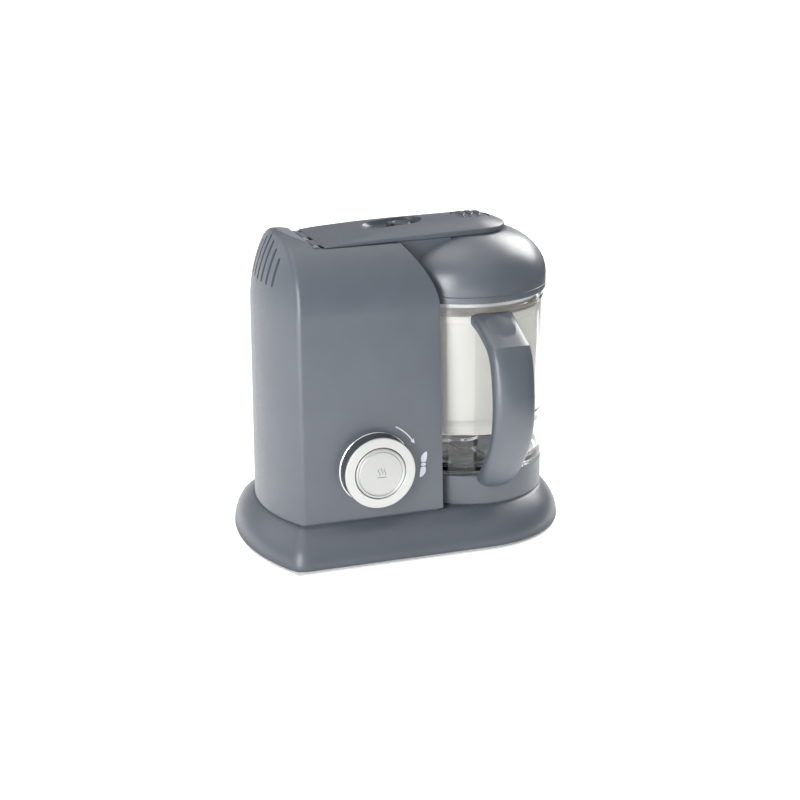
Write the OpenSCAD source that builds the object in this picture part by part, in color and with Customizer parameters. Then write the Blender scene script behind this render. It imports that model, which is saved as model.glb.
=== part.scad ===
// Steam cooker and blender for baby food: a tower with tank and motor,
// a clear bowl on a round seat beside it, and a domed lid on a hinged arm.
// Millimetres, +Z up, standing on z = 0.

/* [Body] */
// Wall of the tower shells and the base housing
wall = 2.5; // [2.2:0.1:2.8]
// Width of the vent grooves in the tower's end
vent_w = 3.6; // [1.8:0.1:4.2]
// Number of vent grooves on each side of the middle one
vent_n = 3; // [1:1:3]

/* [Bowl] */
// Outer radius of the clear bowl
bowl_r = 62.1; // [61.6:0.1:62.2]
// Wall of the bowl
bowl_t = 2.6; // [2.2:0.1:2.8]
// Half width of the bowl's handle
grip_w = 16.2; // [14:0.2:16.4]
// Top of the steam basket's rim
basket_top = 180.5; // [176:0.5:180.5]

/* [Knob] */
// Outer radius of the rotary knob
knob_r = 28; // [26:0.5:28]
// Radius of the push button in the knob's middle
button_r = 19.6; // [18:0.2:19.8]

/* [Drive] */
// Radius of the motor's pulley
pulley_a = 9; // [8:0.5:10]
// Radius of the driven pulley
pulley_b = 22; // [20:0.5:24]

/* [Hidden] */
$fn = 96;
e = 0.01;

// The drawing's zero is the bowl's axis; the part's origin is the middle of
// its footprint.
shift = [54.4, 14.3, 0];

z_deck = 30.4;      // top of the base housing
z_seat = 54.5;      // top of the bowl seat
z_flat = 236;       // flat on the tower under the arm
tank_c = [-112, 0]; // axis of the water tank
neck_c = [-96, 0];  // axis of the tank's mouth
mot_c = [-104, 10]; // axis of the motor
knob_c = [-93.6, 70.7];
hinge_c = [-127, 234];
steam_z = 226;      // height of the steam outlet
gap = 0.3;
end_r = 115.6;      // radius of the tower's bulged end
end_x = -52.2;      // centre of that bulge

module at() translate(shift) children();
module yrod(x, y, z, r, l) translate([x, y, z]) rotate([-90, 0, 0]) cylinder(r = r, h = l);

// ---- outlines ----
// plan of the base at flare f, 0 at the seam with the tower, 1 at the bottom
module base_plan(f, t = 0) {
  intersection() {
    translate([-34.2 + 16.2 * f, 0]) circle(r = 133.7 + 32.3 * f - t, $fn = 180);
    union() {
      translate([-7.5 * f, 0]) circle(r = 62 + 20.7 * f - t);
      translate([-220, -(61.3 + 21.4 * f - t)]) square([220 - 7.5 * f, 2 * (61.3 + 21.4 * f - t)]);
    }
  }
}
function flare(t) = 1 - pow(1 - t, 2.2);
module base_solid(t, z0, z1) hull() {
  for (s = [0, 0.12, 0.3, 0.55, 0.8]) translate([0, 0, z1 - (z1 - z0) * s - e]) linear_extrude(e) base_plan(flare(s), t);
  translate([0, 0, z0]) linear_extrude(e) base_plan(1, t);
}

// arch of the tower across Y and Z
function arch(a, b, zc, n, k) = [for (i = [0:k]) let (q = 90 - 180 * i / k, s = sign(sin(q)))
  [-a * s * pow(abs(sin(q)), 2 / n), zc + b * pow(abs(cos(q)), 2 / n)]];
module arch_along_x(t, zb) rotate([90, 0, 90]) translate([0, 0, -175]) linear_extrude(140)
  polygon(concat([[61.3 - t, zb]], [[59.9 - t, 185]],
    [for (p = arch(59.9 - t, 56.9 - t, 189, 2.1, 48)) [-p[0], p[1]]], [[-59.9 + t, 185], [-61.3 + t, zb]]));
// side view of the tower's top: ridge, slope to the hinge, flat under the arm
module side_along_y(t, zb) translate([0, 90, 0]) rotate([90, 0, 0]) linear_extrude(180)
  polygon([[-30, zb], [-175, zb], [-175, 246 - t], [-149 + t * 0.2, 246 - t], [-131.5 + t * 0.2, 239.6 - t * 1.05], [-131.5 + t * 0.2, z_flat - t], [-30, z_flat - t]]);
// bulged end: round in plan, and drawn in to the ridge as part of a ball
module end_bulge(t, zb) union() {
  translate([end_x, 0, zb]) cylinder(r1 = end_r + 0.8 - t, r2 = end_r - t, h = 186 - zb, $fn = 180);
  translate([end_x, 0, 186]) sphere(r = end_r - t, $fn = 180);
}
module tower_body(t, zb) difference() {
  intersection() {
    arch_along_x(t, zb);
    side_along_y(t, zb);
    end_bulge(t, zb);
  }
  translate([0, 0, zb - 1]) cylinder(r = 72.3 + t, h = 260, $fn = 180);
}
module hinge_pocket(t) translate([-132.6 - t, -30.5 - t, 228.5 - t]) cube([13.1 + 2 * t, 61 + 2 * t, 20]);
module vents() for (i = [-vent_n:vent_n]) translate([-176, i * 9.4 - vent_w / 2, 209]) cube([25, vent_w, 30.5 - i * i * 0.9]);
module tower_shell() difference() {
  tower_body(0, z_deck);
  difference() { tower_body(wall, z_deck - 1); hinge_pocket(wall); }
  hinge_pocket(0);
  vents();
  // mouth of the tank in the flat, stem of the knob in the front
  translate([neck_c[0], neck_c[1], 230]) cylinder(r = 14.2, h = 10);
  yrod(knob_c[0], -64, knob_c[1], 5, 12);
  // way of the steam into the lid
  translate([-80, 0, steam_z]) rotate([0, 90, 0]) cylinder(r = 5.2, h = 12);
}

// ---- base ----
module plinth() color("#6b737d") at() difference() {
  base_solid(0, 3.2, z_deck);
  difference() {
    union() {
      translate([0, 0, -wall]) base_solid(wall, 3.2 - e, z_deck);
      translate([0, 0, 2]) linear_extrude(3) base_plan(0.97, 3);
    }
    for (p = pan_holes) translate([p[0], p[1], 5.4]) cylinder(r = 4, h = 30, $fn = 32);
  }
  // ways for the drive, the motor's shaft and the wires
  translate([0, 0, 20]) cylinder(r = 12.2, h = 20);
  translate([mot_c[0], mot_c[1], 20]) cylinder(r = 12, h = 20);
  translate([-150, -12, 20]) cube([14, 24, 20]);
  translate([-120, 70, 14]) rotate([-90, 0, 0]) cylinder(r = 6, h = 30);
}
pan_holes = [[-150, -52], [-150, 52], [-78, -66], [-78, 66], [36, -46], [36, 46]];
foot_at = [[-152, -60], [-152, 60], [30, -60], [30, 60]];
module base_pan() color("#d9dcdd") at() difference() {
  union() {
    translate([0, 0, 1.2]) linear_extrude(1.9) base_plan(0.985, 1);
    translate([0, 0, 3]) linear_extrude(2) difference() { base_plan(0.96, 4); base_plan(0.96, 6); }
    translate([0, 0, 3]) cylinder(r = 11, h = 4.6);
  }
  for (p = pan_holes) translate([p[0], p[1], 0]) { cylinder(r = 1.7, h = 16); cylinder(r = 3.4, h = 2); }
  translate([0, 0, 4.5]) cylinder(r = 4.06, h = 10);
}
module rubber_feet() color("#3b3d40") at() for (p = foot_at) translate([p[0], p[1], 0])
  rotate_extrude($fn = 48) polygon([[0, 0], [7, 0], [8, 1.2], [0, 1.2]]);
module base_screws() color("#b9bcc0") at() for (p = pan_holes) translate([p[0], p[1], 1.2])
  difference() { union() { cylinder(r = 3, h = 0.8, $fn = 32); cylinder(r = 1.5, h = 13, $fn = 32); }
    for (a = [0, 90]) rotate(a) translate([-1.8, -0.3, -e]) cube([3.6, 0.6, 0.5]); }
module bowl_seat() color("#6b737d") at() rotate_extrude($fn = 144) polygon([
  [19, z_deck], [21.5, z_deck], [21.5, 45], [59, 45], [59, z_deck], [62, z_deck], [62, 53.7], [61.2, z_seat],
  [58.4, z_seat], [58.4, 47.8], [19, 47.8]]);
module cord_gland() color("#33363a") at() translate([-120, 0, 14]) rotate([-90, 0, 0])
  rotate_extrude($fn = 48) polygon([[3.6, 77], [5.9, 77], [5.9, 82.3], [8, 82.3], [7.4, 84.4], [6.4, 84.9], [3.6, 84.9]]);
module terminal_block() color("#e6e4dc") at() translate([-134, 56, 5]) difference() {
  cube([26, 14, 11]);
  for (i = [0:2]) translate([4.5 + 8.5 * i, 7, 4]) cylinder(r = 2, h = 8, $fn = 24);
}
// ---- drive ----
module bearing_block() color("#c9a35a") at() difference() {
  union() { translate([0, 0, z_deck]) cylinder(r = 16, h = 2.6); translate([0, 0, 24]) cylinder(r = 12, h = 15.8); }
  translate([0, 0, 20]) cylinder(r = 4.05, h = 30);
}
module motor_can() color("#8d9297") at() translate([mot_c[0], mot_c[1], 0]) difference() {
  union() {
    translate([0, 0, 36]) cylinder(r = 27, h = 62);
    translate([0, 0, z_deck + 3]) cylinder(r = 10, h = 70);
    for (a = [45, 225]) rotate(a) translate([22, -8, 36]) cube([10, 16, 54]);
  }
  translate([0, 0, 30]) cylinder(r = 4.06, h = 90);
  translate([0, 0, 44]) cylinder(r = 18, h = 46);
  for (a = [0:30:330]) rotate(a) translate([11, -1.6, 97]) cube([10, 3.2, 2]);
}
module motor_bracket() color("#a4a8ac") at() difference() {
  translate([mot_c[0] - 36, mot_c[1] - 32, z_deck]) cube([62, 64, 3]);
  translate([mot_c[0], mot_c[1], 28]) cylinder(r = 12, h = 10);
  for (x = [-24, 18], y = [-26, 26]) translate([mot_c[0] + x, mot_c[1] + y, 28]) cylinder(r = 2, h = 10);
}
module motor_screws() color("#b9bcc0") at() for (x = [-24, 18], y = [-26, 26]) translate([mot_c[0] + x, mot_c[1] + y, z_deck])
  union() { translate([0, 0, -2.4]) cylinder(r = 2, h = 5.5, $fn = 32); translate([0, 0, 3]) rotate_extrude($fn = 32) polygon([[0, 0], [4, 0], [3.4, 1.8], [0, 2.4]]); }
module motor_rotor() color("#b4b7ba") at() translate([mot_c[0], mot_c[1], 0]) union() {
  translate([0, 0, 10]) cylinder(r = 4, h = 96);
  translate([0, 0, 46]) cylinder(r = 17, h = 40);
}
module pulley(r, h, rb) rotate_extrude($fn = 96) polygon([[rb, 0], [r + 2, 0], [r + 2, 1], [r, 1.3], [r, h - 1.3], [r + 2, h - 1], [r + 2, h], [rb, h]]);
module motor_pulley() color("#2f3236") at() translate([mot_c[0], mot_c[1], 10.5]) pulley(pulley_a, 9, 4);
module driven_pulley() color("#2f3236") at() translate([0, 0, 10.5]) pulley(pulley_b, 9, 4);
module belt_plan(t) hull() {
  circle(r = pulley_b + gap + t);
  translate(mot_c) circle(r = pulley_a + gap + t);
}
module drive_belt() color("#1c1d1f") at() translate([0, 0, 12.2]) linear_extrude(5.6) difference() { belt_plan(1.6); belt_plan(0); }
module drive_shaft() color("#b4b7ba") at() translate([0, 0, 4.8]) cylinder(r = 4, h = 38.2);
module drive_dog() color("#2f3236") at() difference() {
  union() { translate([0, 0, 40.2]) cylinder(r = 12, h = 2.2); translate([0, 0, 42.2]) cylinder(r = 8, h = 6.6, $fn = 6); }
  translate([0, 0, 30]) cylinder(r = 4, h = 13);
}
// ---- tower inside ----
module tower_front() color("#6b737d") at() intersection() { tower_shell(); translate([-200, -100, 0]) cube([200, 100, 260]); }
module tower_rear() color("#6b737d") at() intersection() { tower_shell(); translate([-200, 0, 0]) cube([200, 100, 260]); }
module tank_wall(t) {
  translate([tank_c[0], tank_c[1], 0]) rotate_extrude() polygon([[0, 120 + t], [26 - t, 120 + t], [32 - t, 126 + t], [34 - t, 134], [34 - t, 210], [31 - t, 217 - t], [24, 221 - t], [0, 221 - t]]);
}
module water_tank() color("#c8ccd0") at() difference() {
  tank_wall(0);
  tank_wall(1.2);
  translate([neck_c[0], neck_c[1], 210]) cylinder(r = 12.42, h = 30);
}
module tank_neck() color("#c8ccd0") at() difference() {
  union() {
    translate([neck_c[0], neck_c[1], 214.6]) cylinder(r = 12.4, h = 18);
    translate([neck_c[0], neck_c[1], 230.5]) cylinder(r = 13.9, h = 5.4);
    translate([-87, 0, steam_z]) rotate([0, 90, 0]) cylinder(r = 3.6, h = 9);
  }
  translate([neck_c[0], neck_c[1], 214]) cylinder(r = 10.6, h = 30);
  translate([-96, 0, steam_z]) rotate([0, 90, 0]) cylinder(r = 2.6, h = 20);
}
module steam_nozzle() color("#e6e6e2") at() difference() {
  union() {
    translate([-79.5, 0, steam_z]) rotate([0, 90, 0]) cylinder(r = 5.1, h = 6.7);
    translate([-79.5, 0, steam_z]) rotate([0, 90, 0]) cylinder(r = 7, h = 3.6);
  }
  translate([-80, 0, steam_z]) rotate([0, 90, 0]) cylinder(r = 3.6, h = 2.2);
  translate([-80, 0, steam_z]) rotate([0, 90, 0]) cylinder(r = 2.6, h = 12);
}
module tank_cradle() color("#4b5057") at() difference() {
  union() {
    translate([-147, -58.05, 106]) cube([62, 116.1, 2.4]);
    translate([tank_c[0], tank_c[1], 106]) cylinder(r = 30, h = 13.9);
  }
  translate([tank_c[0], tank_c[1], 108.4]) cylinder(r = 27.5, h = 20);
  translate([tank_c[0], tank_c[1], 100]) cylinder(r = 14, h = 20);
}
module heating_element() color("#7a6a5c") at() translate([tank_c[0], tank_c[1], 115.5]) {
  rotate_extrude($fn = 72) translate([20, 0]) circle(r = 3.4, $fn = 32);
  for (a = [30, 60]) rotate(a) translate([20, 0, -7]) cylinder(r = 1.6, h = 6, $fn = 24);
}
module control_board() color("#2e6b45") at() {
  translate([-150, -45.6, 40]) cube([38, 1.6, 62]);
  translate([-146, -44.1, 48]) cube([16, 12, 14]);
  translate([-140, -44.1, 74]) rotate([-90, 0, 0]) cylinder(r = 6, h = 14, $fn = 32);
  translate([-128, -44.1, 70]) cube([10, 6, 22]);
}
module rotary_switch() color("#d8d4c6") at() difference() {
  translate([knob_c[0] - 13, -58, knob_c[1] - 13]) cube([26, 19.4, 26]);
  yrod(knob_c[0], -60, knob_c[1], 3.06, 24);
}
module knob_bezel() color("#4d545c") at() difference() {
  translate([knob_c[0], 0, knob_c[1]]) rotate([90, 0, 0]) rotate_extrude($fn = 120)
    polygon([[5.2, 60], [28.9, 60], [28.9, 62], [28.5, 62.5], [5.2, 62.5]]);
  // sits flat on the slightly sloping front
  translate([-130, 0, 0]) rotate([90, 0, 90]) linear_extrude(80) polygon([[-50, 30.4], [-61.31, 30.4], [-59.91, 185], [-50, 185]]);
}
// ---- hinge ----
lug_y = [[-30.4, 6], [-5, 10], [24.4, 6]];
module hinge_lugs() color("#9da2a7") at() difference() {
  union() for (l = lug_y) {
    translate([-131.4, l[0], 228.5]) cube([8.2, l[1], 4.6]);
    yrod(hinge_c[0], l[0], hinge_c[1], 3.1, l[1]);
  }
  yrod(hinge_c[0], -40, hinge_c[1], 1.5, 80);
}
module hinge_pin() color("#d5d8da") at() yrod(hinge_c[0], -30.4, hinge_c[1], 1.5, 60.8);
// ---- knob ----
module knob_cup() color("#3f454c") at() translate([knob_c[0], 0, knob_c[1]]) rotate([90, 0, 0])
  rotate_extrude($fn = 120) polygon([[3, 62.9], [knob_r - 0.4, 62.9], [knob_r, 63.3], [knob_r, 72.2], [knob_r - 0.6, 72.6],
    [button_r + 1.2, 72.6], [button_r + 1.2, 71.8], [button_r + 0.35, 71.8], [button_r + 0.35, 65.2], [3, 65.2]]);
module knob_face() color("#d3d6d8") at() translate([knob_c[0], 0, knob_c[1]]) rotate([90, 0, 0])
  rotate_extrude($fn = 120) polygon([[button_r + 0.35, 71.8], [button_r + 1.2, 71.8], [button_r + 1.2, 72.6], [knob_r - 0.8, 72.6], [knob_r - 0.8, 73.3], [knob_r - 1.3, 73.7], [button_r + 0.7, 73.7], [button_r + 0.35, 73.4]]);
module knob_stem() color("#c9ccd0") at() difference() {
  yrod(knob_c[0], -64.9, knob_c[1], 3, 28);
  yrod(knob_c[0], -70, knob_c[1], 1.6, 24);
}
module steam_button() color("#dfe2e3") at() translate([knob_c[0], 0, knob_c[1]]) rotate([90, 0, 0])
  rotate_extrude($fn = 120) polygon([[0, 69.2], [button_r, 69.2], [button_r, 74], [button_r - 0.5, 74.5], [button_r - 2, 74.5],
    [button_r - 2.3, 74.1], [button_r - 2.7, 74.1], [button_r - 3, 74.5], [0, 74.6]]);
module button_stem() color("#e9e9e6") at() yrod(knob_c[0], -69.2, knob_c[1], 1.5, 18);
module button_spring() color("#b9bcc0") at() for (i = [0:3]) translate([knob_c[0], -65.7 - i * 0.85, knob_c[1]]) rotate([90, 0, 0])
  rotate_extrude($fn = 48) translate([6, 0]) circle(r = 0.4, $fn = 16);
// ---- bowl ----
module bowl() color([0.85, 0.9, 0.92, 0.35]) at() rotate_extrude($fn = 180) polygon([
  [4.6, 56.5], [9, 56.5], [9, 52], [11, 52], [11, 56.5], [57.8, 56.5], [57.8, 54.9], [bowl_r - 1, 54.9], [bowl_r, 56],
  [bowl_r, 184], [bowl_r + 0.4, 184.4], [bowl_r + 0.4, 186.6], [bowl_r, 187], [bowl_r, 192.4], [bowl_r - 0.6, 193], [bowl_r - bowl_t + 0.5, 193], [bowl_r - bowl_t, 192.5],
  [bowl_r - bowl_t, 100], [54, 93.7], [54, 91.5], [bowl_r - bowl_t, 87], [bowl_r - bowl_t, 64], [bowl_r - bowl_t - 3, 60.4], [bowl_r - bowl_t - 6, 59.4], [9, 59.4], [8, 63], [4.6, 63]]);
module bowl_foot() color([0.85, 0.9, 0.92, 0.35]) at() rotate_extrude($fn = 180) polygon([[55, 48.4], [57.8, 48.4], [57.8, 56.5], [55, 56.5]]);
module shaft_bush() color("#c9a35a") at() difference() {
  translate([0, 0, 56]) cylinder(r = 4.6, h = 7);
  translate([0, 0, 50]) cylinder(r = 3.05, h = 20);
}
// side view of the handle, hand-drawn stations [reach, height] outside and inside
grip_out = [[60, 184], [72, 180], [86, 174], [98, 169], [105, 161], [110, 148], [113, 134], [113.5, 120], [112, 108], [107.5, 95], [101, 83.5], [93, 72], [85, 61], [78, 52.4], [72, 48], [66, 46.6], [60, 46.6]];
grip_in = [[60, 58], [66, 61], [76, 69], [86, 80], [92, 91], [96, 104], [97, 118], [96.4, 130], [94, 144], [90, 155], [82, 162], [72, 167], [60, 171]];
function cr(a, b, c, d, t) = 0.5 * ((2 * b) + (c - a) * t + (2 * a - 5 * b + 4 * c - d) * t * t + (3 * b - a - 3 * c + d) * t * t * t);
function smooth(p, k) = [for (i = [0:len(p) - 2], j = [0:k - 1]) cr(p[max(0, i - 1)], p[i], p[i + 1], p[min(len(p) - 1, i + 2)], j / k)];
module bowl_handle() color("#6b737d") at() difference() {
  intersection() {
    translate([grip_w, 0, 0]) rotate([90, 0, -90]) linear_extrude(2 * grip_w)
      polygon(concat(smooth(grip_out, 3), [[60, 46.6]], smooth(grip_in, 3), [[60, 171]]));
    // rounded corners of the grip seen from the front
    translate([0, -130, 0]) rotate([-90, 0, 0]) linear_extrude(80) polygon([
      [-grip_w + 3, -186], [grip_w - 3, -186], [grip_w, -182], [grip_w, -60], [grip_w - 1.4, -54.4], [grip_w - 5, -49.8], [grip_w - 10, -47], [grip_w - 14, -46.2],
      [-grip_w + 14, -46.2], [-grip_w + 10, -47], [-grip_w + 5, -49.8], [-grip_w + 1.4, -54.4], [-grip_w, -60], [-grip_w, -182]]);
  }
  translate([0, 0, 55.3]) cylinder(r = bowl_r, h = 150, $fn = 180);
  // clear of the seat ring
  translate([0, 0, 40]) cylinder(r = 62.5, h = 15.4, $fn = 180);
  // thumb rest
  translate([0, -84, 173.6]) rotate([24, 0, 0]) cylinder(r = 9, h = 9, $fn = 48);
}
// ---- blades ----
module blade_hub() color("#3a3e43") at() rotate_extrude($fn = 72) polygon([
  [3, 63.3], [9.4, 63.3], [9.4, 62], [10.8, 61], [12.6, 61], [12, 66], [9, 72], [8.4, 80], [6, 83.5], [0, 84.5], [0, 74], [3, 74]]);
module blade_one(r, w) linear_extrude(1.2) polygon(concat([[0, -4]], [for (i = [0:8]) [7 + (r - 7) * i / 8, -4 - w * sin(90 * i / 8)]],
  [for (i = [8:-1:0]) [7 + (r - 7) * i / 8, 4 - (w + 6.5) * pow(i / 8, 1.8)]], [[0, 4]]));
module blade_set() color("#c9cdd1") at() difference() {
  union() {
    for (a = [20, 200]) translate([0, 0, 67]) rotate([0, 0, a]) rotate([0, 6, 0]) blade_one(46, 5);
    for (a = [110, 290]) translate([0, 0, 75]) rotate([0, 0, a]) rotate([0, -14, 0]) blade_one(40, 4);
  }
  translate([0, 0, 60]) rotate_extrude($fn = 72) polygon([[0, 0], [12.62, 0], [12.62, 1], [12.02, 6], [9.02, 12], [8.42, 20], [6.02, 23.5], [0, 24.6]]);
}
module blade_socket() color("#2f3236") at() union() {
  difference() { translate([0, 0, 43.2]) cylinder(r = 12.6, h = 8); translate([0, 0, 43]) cylinder(r = 8.5, h = 6.4, $fn = 6); }
  translate([0, 0, 51]) cylinder(r = 8.4, h = 4.6);
  translate([0, 0, 55.5]) cylinder(r = 3, h = 18.4);
}
// ---- basket ----
module steam_basket() color([0.93, 0.93, 0.9, 0.8]) at()
  rotate_extrude($fn = 144) polygon([[51.5, 84.6], [53, 84.6], [53, 94], [56, 96.5], [57.2, 100], [58, 174], [59, 175], [59, basket_top - 0.5], [58.5, basket_top], [57, basket_top], [56.4, 175.4], [55.4, 101], [54.4, 98.4], [51.5, 96]]);
module basket_floor() color([0.93, 0.93, 0.9, 0.8]) at() difference() {
  translate([0, 0, 94]) cylinder(r = 51.48, h = 2, $fn = 144);
  for (r = [12, 24, 36, 46], i = [0:5]) rotate(60 * i + r * 3) translate([r, 0, 90]) cylinder(r = 2.2, h = 10, $fn = 24);
}
// ---- lid ----
// radius of the dome's outside at height z
function dome(z) = z < 200.8 ? 64 : 64 * pow(max(0, 1 - pow((z - 200.8) / 40.1, 2.11)), 0.459);
dome_z = [191.4, 194, 197, 201, 205, 209, 213, 217, 221, 225, 228, 231, 233.4, 235, 236.3];
module dome_solid(t, z0, zt) rotate_extrude($fn = 180) polygon(concat([[0, z0]],
  [for (z = dome_z) [dome(z) - t - (z < 195 ? 0 : t * 0.35 * pow((z - 195) / 42, 2)), z == 191.4 ? z0 : z - (z > 201 ? (z - 201) / 35.2 * t * 0.9 : 0)]], [[0, 236.3 - t * 0.9]]));
module neck_block(t) intersection() {
  translate([0, 0, 204]) linear_extrude(32.3 - t) polygon([[-76, t - 32.2], [-12, t - 29.4], [-12, 29.4 - t], [-76, 32.2 - t]]);
  translate([0, 0, 200]) cylinder(r = 71.5 - t, h = 60, $fn = 180);
  // underside rises towards the tower
  translate([0, 60, 0]) rotate([90, 0, 0]) linear_extrude(120) polygon([[-80, 222 + t], [-40, 206 + t], [0, 206 + t], [0, 240], [-80, 240]]);
}
module lid_dome() color("#6b737d") at() difference() {
  union() { dome_solid(0, 191.4, 0); neck_block(0); }
  dome_solid(1.4, 190, 0);
  difference() { neck_block(2.2); translate([0, 0, 180]) cylinder(r = 36, h = 60); }
  // inlet facing the tower
  translate([-76, 0, steam_z]) rotate([0, 90, 0]) cylinder(r = 4.6, h = 10);
}
module lid_inner() color("#e4e6e6") at() difference() {
  rotate_extrude($fn = 144) polygon([[0, 199], [55, 199], [55, 187.2], [57.2, 187.2], [58.2, 190], [56.6, 190], [56.6, 192.2], [58.2, 192.2], [58.2, 198], [62.1, 202.8], [61.9, 204.3], [60.2, 204.3], [57, 201], [0, 201]]);
  for (i = [0:5]) rotate(60 * i) translate([30, 0, 195]) cylinder(r = 3, h = 10, $fn = 32);
}
module inlet_seal() color("#e9e9e4") at() translate([-71.3, 0, steam_z]) rotate([0, 90, 0])
  rotate_extrude($fn = 48) polygon([[2.8, 0.3], [4.6, 0.3], [4.6, 2.6], [6.4, 2.6], [6.4, 4], [2.8, 4]]);
module lid_seal() color("#e9e9e4") at() rotate_extrude($fn = 144) polygon([[56.6, 190], [58.6, 190], [59.1, 191.1], [58.6, 192.2], [56.6, 192.2]]);
// ---- arm ----
// plan: slowly narrowing, with a half-round tip
module arm_plan(t) union() {
  polygon([[-122.8 + t, t - 34.6], [2, t - 29.2], [2, 29.2 - t], [-122.8 + t, 34.6 - t]]);
  translate([2, 0]) circle(r = 29.2 - t, $fn = 120);
}
// height of the crowned top above its rim at u, from 0 in the middle to 1 at the rim
function crowned(u) = 7 * (1 - pow(abs(u), 2.3));
us = [-1, -0.92, -0.82, -0.7, -0.55, -0.38, -0.2, 0, 0.2, 0.38, 0.55, 0.7, 0.82, 0.92, 1];
module arm_solid(t, z0) intersection() {
  // body, narrowing and rising slowly from the hinge to a half-round tip
  hull() {
    translate([-122.8 + t, 0, 0]) rotate([90, 0, 90]) linear_extrude(0.4)
      polygon(concat([[t - 34.6, 225]], [for (u = us) [(34.6 - t) * u, 238.5 - t + crowned(u)]], [[34.6 - t, 225]]));
    translate([2, 0, 0]) rotate_extrude($fn = 72)
      polygon(concat([[0, 225]], [[29.2 - t, 225]], [for (i = [14:-1:7]) [(29.2 - t) * us[i], 240.5 - t + crowned(us[i])]]));
  }
  // facets that run down to the hinge
  translate([0, 60, 0]) rotate([90, 0, 0]) linear_extrude(120)
    polygon([[-140, z0], [-140, 236.2 - t], [-122.8, 237.2 - t], [-82, 242.5 - t], [-45, 245.8 - t], [-10, 249], [40, 249], [40, z0]]);
}
module recess_plan(t) hull() for (x = [-72.5, -48.5]) translate([x, 0]) circle(r = 13 + t, $fn = 64);
knuckle_y = [[-24, 18.6], [5.4, 18.6]];
module arm() color("#6b737d") at() difference() {
  union() {
    difference() {
      arm_solid(0, 236.3);
      difference() {
        intersection() { arm_solid(2, 230); translate([-108, -32, 230]) cube([140, 64, 20]); }
        translate([0, 0, 238.6]) linear_extrude(12) recess_plan(1.8);
        translate([pad_x, 0, 240]) linear_extrude(12) pad_plan(1.8);
      }
    }
    for (k = knuckle_y) {
      yrod(hinge_c[0], k[0], hinge_c[1], 3, k[1]);
      translate([-127, k[0], 234.2]) cube([6.8, k[1], 3]);
    }
  }
  yrod(hinge_c[0], -40, hinge_c[1], 1.56, 80);
  translate([0, 0, 240]) linear_extrude(12) recess_plan(0);
  translate([pad_x, 0, 243.2]) linear_extrude(12) pad_plan(0);
  translate([pad_x, 0, 230]) cylinder(r = 3.3, h = 20, $fn = 32);
  // seat of the base plate
  intersection() { translate([-110.3, -40, 230]) cube([150, 80, 7.7]); translate([0, 0, 229]) linear_extrude(10) arm_plan(2); }
}
module arm_base() color("#5c636c") at() difference() {
  intersection() { translate([-110, -40, 236.3]) cube([150, 80, 1.3]); translate([0, 0, 235]) linear_extrude(4) arm_plan(2.3); }
  translate([neck_c[0], neck_c[1], 230]) cylinder(r = 11.62, h = 12);
}
module tank_plug() color("#d9dad6") at() translate([neck_c[0], neck_c[1], 0]) rotate_extrude($fn = 72)
  polygon([[4, 236.3], [11.2, 236.3], [11.6, 236.7], [11.6, 237.6], [4, 237.6]]);
pad_x = 4.5; // middle of the release pad
module pad_plan(t) polygon([for (i = [0:47]) let (q = 7.5 * i) [(15.5 + t) * cos(q), (14.5 + t) * sin(q)]]);
module release_pad() color("#6b737d") at() translate([pad_x, 0, 0]) difference() {
  union() {
    translate([0, 0, 245]) linear_extrude(1.6) pad_plan(-0.35);
    for (x = [-7, 0, 7]) translate([x, 0, 246.4]) intersection() {
      linear_extrude(2.6) difference() { translate([-12, 0]) circle(r = 14); translate([-14.2, 0]) circle(r = 14.4); }
      translate([-6, -9.5, 0]) cube([12, 19, 4]);
    }
    translate([0, 0, 240]) cylinder(r = 3, h = 6);
  }
}
module pad_spring() color("#b9bcc0") at() for (i = [0:1]) translate([pad_x, 0, 243.65 + i * 0.85])
  rotate_extrude($fn = 48) translate([6, 0]) circle(r = 0.35, $fn = 16);
module recess_catch() color("#565d66") at() difference() {
  union() {
    translate([-60, -8, 240.3]) cube([16, 16, 2.4]);
    translate([-52, 0, 240.3]) cylinder(r = 8, h = 4);
    translate([-62, -4, 240.3]) cube([4, 8, 4.4]);
  }
  translate([-52, 0, 243.4]) cylinder(r = 6.4, h = 3);
}

plinth();
base_pan();
rubber_feet();
base_screws();
tower_front();
tower_rear();
bowl_seat();
cord_gland();
terminal_block();
bearing_block();
motor_can();
motor_bracket();
motor_screws();
drive_belt();
water_tank();
tank_neck();
tank_cradle();
heating_element();
control_board();
rotary_switch();
knob_bezel();
steam_nozzle();
hinge_lugs();
hinge_pin();
motor_rotor();
motor_pulley();
drive_shaft();
driven_pulley();
drive_dog();
knob_cup();
knob_face();
knob_stem();
steam_button();
button_stem();
button_spring();
bowl();
bowl_foot();
bowl_handle();
shaft_bush();
blade_hub();
blade_set();
blade_socket();
steam_basket();
basket_floor();
lid_dome();
lid_inner();
lid_seal();
inlet_seal();
arm();
arm_base();
tank_plug();
release_pad();
pad_spring();
recess_catch();
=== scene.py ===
import math

import bmesh
import bpy
from mathutils import Matrix, Vector


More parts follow.
